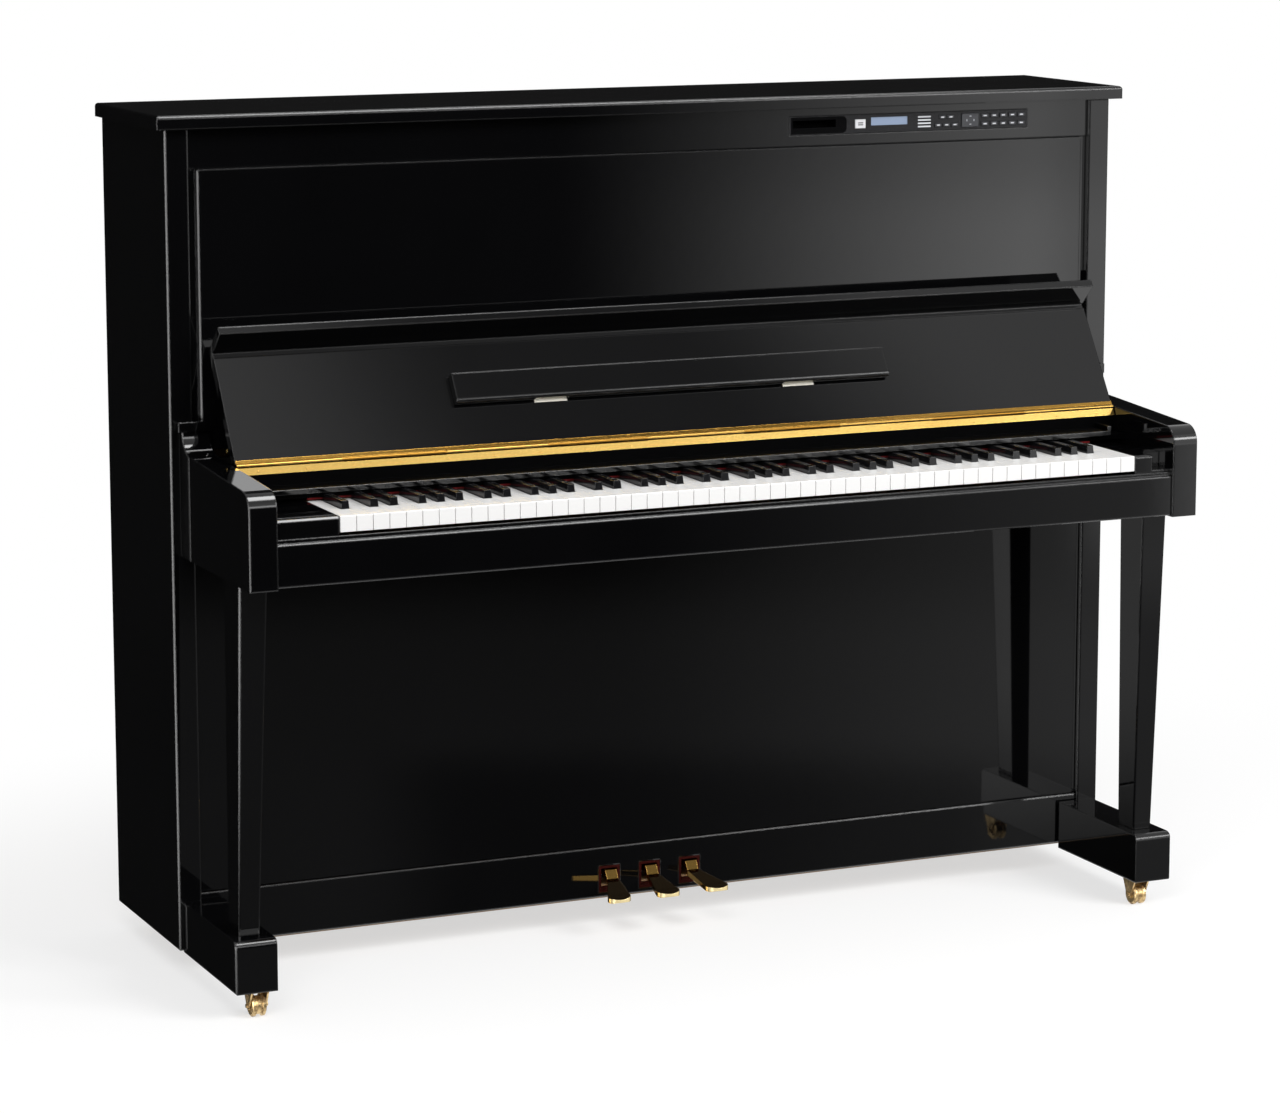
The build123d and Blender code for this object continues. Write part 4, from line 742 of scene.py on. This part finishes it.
def drive_front(low, high, hole_low, hole_high, corner):
    """A plate in the XZ plane with a hole and two rounded corners at its right end."""
    outer = [(low[0], high[2]), (low[0], low[2])]
    for turn, z in ((270, low[2] + corner), (0, high[2] - corner)):
        for step in range(7):
            way = radians(turn + step * 15)
            outer.append((high[0] - corner + corner * cos(way), z + corner * sin(way)))
    inner = []
    for x, z in outer:
        inner.append((min(max(x, hole_low[0]), hole_high[0]), min(max(z, hole_low[2]), hole_high[2])))
    shape = bmesh.new()
    hollow(shape, outer, inner, low[1], high[1])
    bmesh.ops.remove_doubles(shape, verts=shape.verts, dist=0.00002)
    bmesh.ops.recalc_face_normals(shape, faces=shape.faces)
    return new_object("drive_front", shape_mesh("drive_front", shape))


def outline_corners(low, high, inset):
    """Corners of a box's outline in XZ, drawn in from its edges."""
    left, right = low[0] + inset, high[0] - inset
    foot, head = low[2] + inset, high[2] - inset
    return [(left, foot), (right, foot), (right, head), (left, head)]


class Step:
    """Shared by the operators that dress the piano: each builds from the scene's colours and sizes."""

    def execute(self, context):
        self.build(context.scene.piano_finishes, context.scene.piano_fittings)
        return {"FINISHED"}


class PIANO_OT_case(Step, Operator):
    """Lacquers the case, the fallboard and the music desk"""

    bl_idname = "piano.case"
    bl_label = "Lacquered case"

    def build(self, colours, sizes):
        paint(
            lacquer(colours), "side_left", "side_right", "lid", "toe_blocks", "legs", "arm_left", "arm_right",
            "key_slip", "key_blocks", "upper_panel", "top_rail", "lower_panel", "bottom_rail",
            "fallboard", "music_desk",
        )
        paint(nameboard_finish(colours, sizes), "nameboard")
        paint(felt("nameboard_felt", colours.felt_red, 0), "nameboard_felt")
        beds = timber("bed_beech", colours.beech, colours.beech_dark, (0.05, 1, 1), 90)
        paint(beds, "key_bed", "bottom_board", "key_frame")


class PIANO_OT_keyboard(Step, Operator):
    """Covers the natural and sharp keys"""

    bl_idname = "piano.keyboard"
    bl_label = "Keyboard"

    def build(self, colours, sizes):
        paint(natural_key(colours, sizes), "naturals_bass", "naturals_treble", "key_c4", "key_d4")
        paint(sharp_key(colours, sizes), "sharps_bass", "sharps_treble", "key_c_sharp_4")


class PIANO_OT_brasswork(Step, Operator):
    """Finishes the hinges, the pedals and the casters"""

    bl_idname = "piano.brasswork"
    bl_label = "Brasswork"

    def build(self, colours, sizes):
        bright = hinge_brass("hinge_brass", colours, colours.brass)
        paint(bright, "fallboard_hinge", "lid_hinges", "lid_hinge_leaves")
        # The fallboard's leaf takes the darker copy of the same brass, as painted shade.
        paint(hinge_brass("leaf_brass", colours, colours.brass_shaded), "fallboard_leaf")
        paint(pedal_brass(colours), "pedal_soft", "pedal_practice", "pedal_sustain")
        corners = ("front_left", "front_right", "rear_left", "rear_right")
        paint(caster_brass(colours), "caster_forks", *[f"caster_wheel_{corner}" for corner in corners])
        paint(bright_steel("hinge_nickel", colours.nickel, 0.35, 0.3), "music_desk_hinges")
        paint(bright_steel("bracket_steel", colours.blued_steel, 0.4), "pedal_brackets")


class PIANO_OT_hinge_screws(Step, Operator):
    """Sets the screws in both leaves of the long hinge"""

    bl_idname = "piano.hinge_screws"
    bl_label = "Hinge screws"

    def build(self, colours, sizes):
        low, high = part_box("fallboard_leaf")
        pivot = joint_place("fallboard_hinge")
        tree = row_tree("hinge_screw_row", "head")
        count = sizes.hinge_screws
        first = low[0] + sizes.hinge_end
        step = (high[0] - low[0] - 2 * sizes.hinge_end) / (count - 1)
        out = sizes.leaf_thick / 2
        leaves = (
            ("hinge_screws_upper", "fallboard", sizes.fall_lean, sizes.upper_screw_line, "leaf_brass"),
            ("hinge_screws_lower", "case", sizes.leaf_slope, -sizes.lower_screw_line, "hinge_brass"),
        )
        for name, body, lean, along, finish in leaves:
            y = pivot.y + along * sin(lean) - out * cos(lean)
            z = pivot.z + along * cos(lean) + out * sin(lean)
            row(name, tree, {
                "Count": count, "Start": (first, y, z), "Step": (step, 0, 0), "Turn": (pi / 2 - lean, 0, 0),
                "Size": (sizes.hinge_screw, sizes.hinge_screw, sizes.screw_rise),
                "Finish": bpy.data.materials[finish],
            }, body)


class PIANO_OT_fallboard_stop(Step, Operator):
    """Sets the small round stop of the fallboard on the left arm"""

    bl_idname = "piano.fallboard_stop"
    bl_label = "Fallboard stop"

    def build(self, colours, sizes):
        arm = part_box("arm_left")
        pivot = joint_place("fallboard_hinge")
        spot = (arm[1][0] + sizes.stop / 4, pivot.y + sizes.stop_back, pivot.z + sizes.stop_rise)
        row("fallboard_stop", row_tree("fallboard_stop_row", "head"), {
            "Start": spot, "Turn": (0, pi / 2, 0), "Size": (sizes.stop, sizes.stop, sizes.stop / 2),
            "Finish": bpy.data.materials["hinge_brass"],
        }, "case")


class PIANO_OT_dust_board(Step, Operator):
    """Sets the lacquered board that covers the key sticks behind the closed fallboard"""

    bl_idname = "piano.dust_board"
    bl_label = "Dust board"

    def build(self, colours, sizes):
        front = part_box("nameboard")[1][1] + sizes.board_gap
        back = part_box("upper_panel")[1][1]
        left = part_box("arm_left")[1][0]
        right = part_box("arm_right")[0][0]
        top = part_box("fallboard")[0][2] - sizes.board_drop
        row("dust_board", row_tree("dust_board_row", "bar"), {
            "Start": ((left + right) / 2, (front + back) / 2, top - sizes.board_thick / 2),
            "Size": (right - left, back - front, sizes.board_thick),
            "Finish": bpy.data.materials["black_lacquer"],
        }, "case")


class PIANO_OT_control_panel(Step, Operator):
    """Finishes the control panel and adds its drive front, lamp bars and button marks"""

    bl_idname = "piano.control_panel"
    bl_label = "Control panel"

    def build(self, colours, sizes):
        paint(bezel_plastic(colours, sizes), "control_panel")
        paint(display_glass(colours), "display_window")
        dark = moulded_plastic("button_plastic", colours.button, 0.3)
        paint(dark, "menu_buttons", "cursor_pad", "transport_buttons")
        paint(moulded_plastic("silver_plastic", colours.silver, 0.3), "power_button")
        self.drive(colours, sizes)
        bars = row_tree("panel_bar_row", "bar")
        mark = moulded_plastic("pale_mark", colours.mark, 0.4)
        self.lamps(sizes, bars, mark)
        self.marks(sizes, bars, mark, "menu_buttons", sizes.menu_button, (3, 2))
        self.marks(sizes, bars, mark, "transport_buttons", sizes.play_button, (5, 5))
        self.pad_marks(sizes, bars, mark)
        self.power_marks(sizes, bars, dark)

    def drive(self, colours, sizes):
        """The plate round the media slot."""
        low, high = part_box("control_panel")
        left = low[0] + sizes.drive_left
        middle = (low[2] + high[2]) / 2
        half = sizes.drive_height / 2
        front = drive_front(
            (left, low[1] - sizes.mark_depth, middle - half),
            (left + sizes.drive_width, low[1] + sizes.mark_depth, middle + half),
            *media_slot(sizes), sizes.drive_round,
        )
        fit(front, "case", moulded_plastic("drive_plastic", colours.drive, 0.4, 0.03))

    def lamps(self, sizes, bars, mark):
        """Four lamp bars, one over the other."""
        low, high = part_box("control_panel")
        x = low[0] + sizes.lamp_left + sizes.lamp_width / 2
        foot = (low[2] + high[2]) / 2 - 1.5 * sizes.lamp_pitch
        row("lamp_bars", bars, {
            "Count": 4, "Start": (x, low[1], foot), "Step": (0, 0, sizes.lamp_pitch),
            "Size": (sizes.lamp_width, 2 * sizes.mark_depth, sizes.lamp_height), "Finish": mark,
        }, "case")

    def marks(self, sizes, bars, mark, node, wide, counts):
        """A pale bar on each button of a bank's lower and upper row."""
        low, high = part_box(node)
        tall = (high[2] - low[2]) * sizes.button_share
        pitch = (high[0] - low[0] - wide) / (max(counts) - 1)
        rows = (("lower", counts[0], low[2] + tall / 2), ("upper", counts[1], high[2] - tall / 2))
        for name, count, height in rows:
            first = (low[0] + high[0]) / 2 - pitch * (count - 1) / 2
            row(f"{node}_marks_{name}", bars, {
                "Count": count, "Start": (first, low[1], height), "Step": (pitch, 0, 0),
                "Size": (wide * 0.5, sizes.mark_depth, tall * 0.36), "Finish": mark,
            }, node)

    def power_marks(self, sizes, bars, dark):
        """Two dark bars on the power button."""
        low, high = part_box("power_button")
        wide, tall = high[0] - low[0], high[2] - low[2]
        row("power_button_marks", bars, {
            "Count": 2, "Start": (low[0] + wide / 2, low[1], low[2] + 0.4 * tall),
            "Step": (0, 0, 0.22 * tall), "Size": (0.5 * wide, sizes.mark_depth, 0.12 * tall), "Finish": dark,
        }, "power_button")

    def pad_marks(self, sizes, bars, mark):
        """Short bars at the four sides of the cursor pad."""
        low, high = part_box("cursor_pad")
        reach = high[2] - low[2]
        x = (low[0] + high[0]) / 2
        z = (low[2] + high[2]) / 2
        sides = (
            ("level", (x - 0.3 * reach, z), (0.6 * reach, 0, 0), (0.05 * reach, 0.16 * reach)),
            ("upright", (x, z - 0.3 * reach), (0, 0, 0.6 * reach), (0.16 * reach, 0.05 * reach)),
        )
        for name, start, step, size in sides:
            row(f"cursor_pad_marks_{name}", bars, {
                "Count": 2, "Start": (start[0], low[1], start[1]), "Step": step,
                "Size": (size[0], sizes.mark_depth, size[1]), "Finish": mark,
            }, "cursor_pad")


class PIANO_OT_inside(Step, Operator):
    """Finishes the back frame, the soundboard, the plate, the strings and the action"""

    bl_idname = "piano.inside"
    bl_label = "Inside and back"

    def build(self, colours, sizes):
        paint(frame_timber(colours), "back_frame")
        slant = (0, radians(38), 0)
        board = timber("board_spruce", colours.spruce, colours.spruce_dark, (1, 1, 0.03), 260, slant)
        paint(board, "soundboard")
        paint(iron_plate(colours), "iron_plate", "action_frame")
        paint(piano_wire(colours), "strings")
        paint(bright_steel("pin_steel", colours.blued_steel, 0.3), "tuning_pins")
        hammers = ["hammers_bass", "hammers_treble", *[f"hammer_{key}" for key in SINGLE_KEYS]]
        paint(action_wood("hammer_felt", "hammers_bass", colours, ("Z", 0.86)), *hammers)
        paint(action_wood("damper_felt", "dampers", colours, ("Y", 0.55)), "dampers")


class PIANO_OT_post_bolts(Step, Operator):
    """Sets the bolts that hold the back posts to the beams"""

    bl_idname = "piano.post_bolts"
    bl_label = "Post bolts"

    def build(self, colours, sizes):
        low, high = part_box("back_frame")
        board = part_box("soundboard")
        tree = row_tree("post_bolt_row", "head")
        steel = bright_steel("bolt_steel", colours.steel, 0.2)
        first = low[0] + sizes.post_width / 2
        step = (high[0] - low[0] - sizes.post_width) / (sizes.posts - 1)
        beams = (
            ("post_bolts_upper", (board[1][2] + high[2]) / 2),
            ("post_bolts_lower", (board[0][2] + low[2]) / 2),
        )
        for name, z in beams:
            row(name, tree, {
                "Count": sizes.posts, "Start": (first, high[1], z), "Step": (step, 0, 0),
                "Turn": (-pi / 2, 0, 0), "Size": (sizes.bolt, sizes.bolt, sizes.bolt_rise), "Finish": steel,
            }, "case")


class PIANO_OT_pedal_felts(Step, Operator):
    """Lines the pedal slots with felt"""

    bl_idname = "piano.pedal_felts"
    bl_label = "Pedal slot felts"

    def build(self, colours, sizes):
        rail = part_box("bottom_rail")
        shape = bmesh.new()
        for name in ("soft", "practice", "sustain"):
            x = joint_place(f"pedal_{name}_press").x
            low = (x - sizes.slot_width / 2, rail[0][1] + sizes.slot_set, sizes.slot_low)
            high = (x + sizes.slot_width / 2, rail[1][1], sizes.slot_high)
            outer, inner = (outline_corners(low, high, inset) for inset in (0, sizes.slot_felt))
            hollow(shape, outer, inner, low[1], high[1])
        bmesh.ops.recalc_face_normals(shape, faces=shape.faces)
        lining = new_object("pedal_slot_felts", shape_mesh("pedal_slot_felts", shape))
        fit(lining, "case", felt("slot_felt", colours.slot_red, 0))


class PIANO_OT_stage(Operator):
    """Sets the floor, the lamps, the world and the camera"""

    bl_idname = "piano.stage"
    bl_label = "Studio"

    def execute(self, context):
        studio = context.scene.piano_studio
        self.world(context, studio)
        self.floor(studio)
        self.gloss_wall(studio)
        self.lamp("key_lamp", studio.key_place, studio.key_size, studio.key_power, studio.lamp_aim)
        self.lamp("fill_lamp", studio.fill_place, studio.fill_size, studio.fill_power, studio.lamp_aim)
        self.camera(context, studio)
        context.scene.view_settings.view_transform = "Standard"
        return {"FINISHED"}

    def seen(self, f):
        """1 for a ray from the camera, a mirror or a glass."""
        kinds = ("Camera", "Glossy", "Transmission")
        camera, mirror, glass = (f.add("ShaderNodeLightPath", {}, {}, f"Is {kind} Ray") for kind in kinds)
        return camera | mirror | glass

    def world(self, context, studio):
        """White to look at, softer as light."""
        context.scene.world = bpy.data.worlds.new("studio")
        f = Finish(context.scene.world)
        seen = self.seen(f)
        strength = seen + (1 - seen) * studio.ambient
        f.end(f.add("ShaderNodeBackground", {}, {"Color": (1, 1, 1, 1), "Strength": strength}))

    def floor(self, studio):
        """A pale floor that keeps the shadow and is clear from below."""
        reach = 14.0
        mesh = bpy.data.meshes.new("floor")
        corners = [(-reach, -reach, 0), (reach, -reach, 0), (reach, reach, 0), (-reach, reach, 0)]
        mesh.from_pydata(corners, [], [(0, 1, 2, 3)])
        f = new_finish("pale_floor")
        diffuse = f.add("ShaderNodeBsdfDiffuse", {}, {"Color": (*studio.floor, 1)})
        x = f.axis("X")
        y = f.axis("Y")
        far = f.ramp(f.math("SQRT", 0.4 * x * x + y * y), 0.5, 1.5)
        glow = f.add("ShaderNodeEmission", {}, {"Strength": self.seen(f)})
        fade = studio.floor_glow + (1 - studio.floor_glow) * far
        under = f.add("ShaderNodeNewGeometry", {}, {}, "Backfacing")
        clear = f.add("ShaderNodeBsdfTransparent", {}, {})
        mesh.materials.append(f.end(f.blend(under, f.blend(fade, diffuse, glow), clear)))
        floor = new_object("floor", mesh)
        floor.visible_glossy = False

    def gloss_light(self, f, studio, radius):
        """Brightness of the wall by its turn from the front in degrees and its height in radii."""
        x, y = f.axis("X"), 0 - f.axis("Y")
        turn = f.math("DEGREES", f.math("ARCTAN2", x, y))
        height = f.axis("Z") * (1 / radius)
        # The softbox: dim as a whole, bright from the keyboard upwards and beside the right arm
        low_edge = f.ramp(height, -0.068, -0.028) * (1 - 0.3 * f.ramp(height, 0.01, 0.05))
        low_edge = low_edge * (1 - 0.3 * f.ramp(turn, 33.2, 34.6))
        arm_edge = 0.33 * f.ramp(turn, 34, 35.5) * f.ramp(height, -0.14, -0.09)
        dim = 0.15 * (0.45 + 0.55 * f.ramp(height, -0.225, -0.19))
        box = f.window(turn, (22, 37), (70, 88)) * (1 - f.ramp(height, 0.40, 0.48))
        box = box * (dim + 0.85 * (low_edge | arm_edge))
        # The band over it, and the narrow light along the softbox's top
        band = f.window(height, (0.44, 0.54), (0.655, 0.69)) * (0.78 + 0.34 * f.ramp(turn, 12, 52))
        crest = f.window(height, (0.35, 0.38), (0.48, 0.51)) * f.window(turn, (-10, 15), (70, 88))
        crest = crest * (0.4 + 0.6 * f.ramp(turn, 22, 34))
        # Two pale banks overhead with a dark gap between them, and a bright light at the top
        banks = 0.62 * (1 - f.ramp(turn, 22.5, 33)) + 0.65 * f.ramp(turn, 39.5, 48)
        overhead = f.ramp(height, 0.655, 0.69) * (0.17 + banks)
        zenith = f.ramp(height, 0.86, 0.89) * f.ramp(x, 1.0, 1.6) * f.ramp(y, 0.3, 0.8)
        # Upright strips at the left
        strips = sum(1 - f.ramp(abs(turn - place), 6, 9) for place in (-105, -75, -31))
        strips = strips * f.window(height, (-0.3, -0.2), (0.45, 0.5))
        # Pale ground in front with a dark middle, and a white floor far below
        middle = f.window(turn, (17, 20), (31.5, 33.5)) * (1 - f.ramp(height, -0.215, -0.195))
        ground = f.ramp(turn, -30, 10) * (1 - f.ramp(height, -0.16, -0.115)) * (1 - 0.75 * middle)
        below = 1 - f.ramp(height, -0.46, -0.38)
        lights = studio.softbox * box + studio.band * band + studio.crest * crest + overhead
        lights = lights + studio.top * zenith + studio.edge * strips + studio.ground * ground + below
        return studio.flags + lights

    def gloss_wall(self, studio):
        """Dark flags and lights round the piano that only its gloss shows."""
        radius = 9.0
        shape = bmesh.new()
        bmesh.ops.create_uvsphere(shape, u_segments=64, v_segments=32, radius=radius)
        bmesh.ops.reverse_faces(shape, faces=shape.faces)
        mesh = shape_mesh("gloss_wall", shape)
        f = new_finish("flags_and_softbox")
        strength = self.gloss_light(f, studio, radius)
        mesh.materials.append(f.end(f.add("ShaderNodeEmission", {}, {"Strength": strength})))
        wall = new_object("gloss_wall", mesh)
        wall.visible_camera = False
        wall.visible_diffuse = False
        wall.visible_transmission = False
        wall.visible_shadow = False

    def lamp(self, name, place, width, power, aim):
        """A square area lamp that looks at a place."""
        lamp = bpy.data.lights.new(name, "AREA")
        lamp.size = width
        lamp.energy = power
        obj = new_object(name, lamp)
        obj.location = place
        obj.rotation_euler = (Vector(aim) - Vector(place)).to_track_quat("-Z", "Y").to_euler()
        obj.visible_glossy = False

    def camera(self, context, studio):
        """The photograph's view."""
        camera = bpy.data.cameras.new("camera")
        camera.lens = studio.lens
        camera.sensor_width = 36.0
        camera.sensor_fit = "HORIZONTAL"
        camera.shift_y = studio.shift
        camera.clip_end = 100.0
        obj = new_object("camera", camera)
        obj.location = studio.camera
        obj.rotation_euler = (pi / 2 + studio.pitch, 0, -studio.yaw)
        context.scene.camera = obj


class PIANO_PT_panel(Panel):
    """Lists the piano's steps and values"""

    bl_idname = "PIANO_PT_panel"
    bl_label = "Upright piano"
    bl_space_type = "VIEW_3D"
    bl_region_type = "UI"
    bl_category = "Piano"

    def draw(self, context):
        for operator in OPERATORS:
            self.layout.operator(operator.bl_idname)
        for name, kind in GROUPS.items():
            box = self.layout.box()
            for value in kind.__annotations__:
                box.prop(getattr(context.scene, name), value)


GROUPS = {"piano_finishes": PianoFinishes, "piano_fittings": PianoFittings, "piano_studio": PianoStudio}
OPERATORS = (
    PIANO_OT_case, PIANO_OT_keyboard, PIANO_OT_brasswork, PIANO_OT_hinge_screws, PIANO_OT_fallboard_stop,
    PIANO_OT_dust_board, PIANO_OT_control_panel, PIANO_OT_inside, PIANO_OT_post_bolts,
    PIANO_OT_pedal_felts, PIANO_OT_stage,
)


def register():
    for kind in (*GROUPS.values(), *OPERATORS, PIANO_PT_panel):
        bpy.utils.register_class(kind)
    for name, group in GROUPS.items():
        setattr(bpy.types.Scene, name, PointerProperty(type=group))


def unregister():
    for name in GROUPS:
        delattr(bpy.types.Scene, name)
    for kind in reversed((*GROUPS.values(), *OPERATORS, PIANO_PT_panel)):
        bpy.utils.unregister_class(kind)


def main():
    """Registers the classes and runs every step in order."""
    register()
    for operator in OPERATORS:
        group, step = operator.bl_idname.split(".")
        getattr(getattr(bpy.ops, group), step)()


if __name__ == "__main__":
    main()
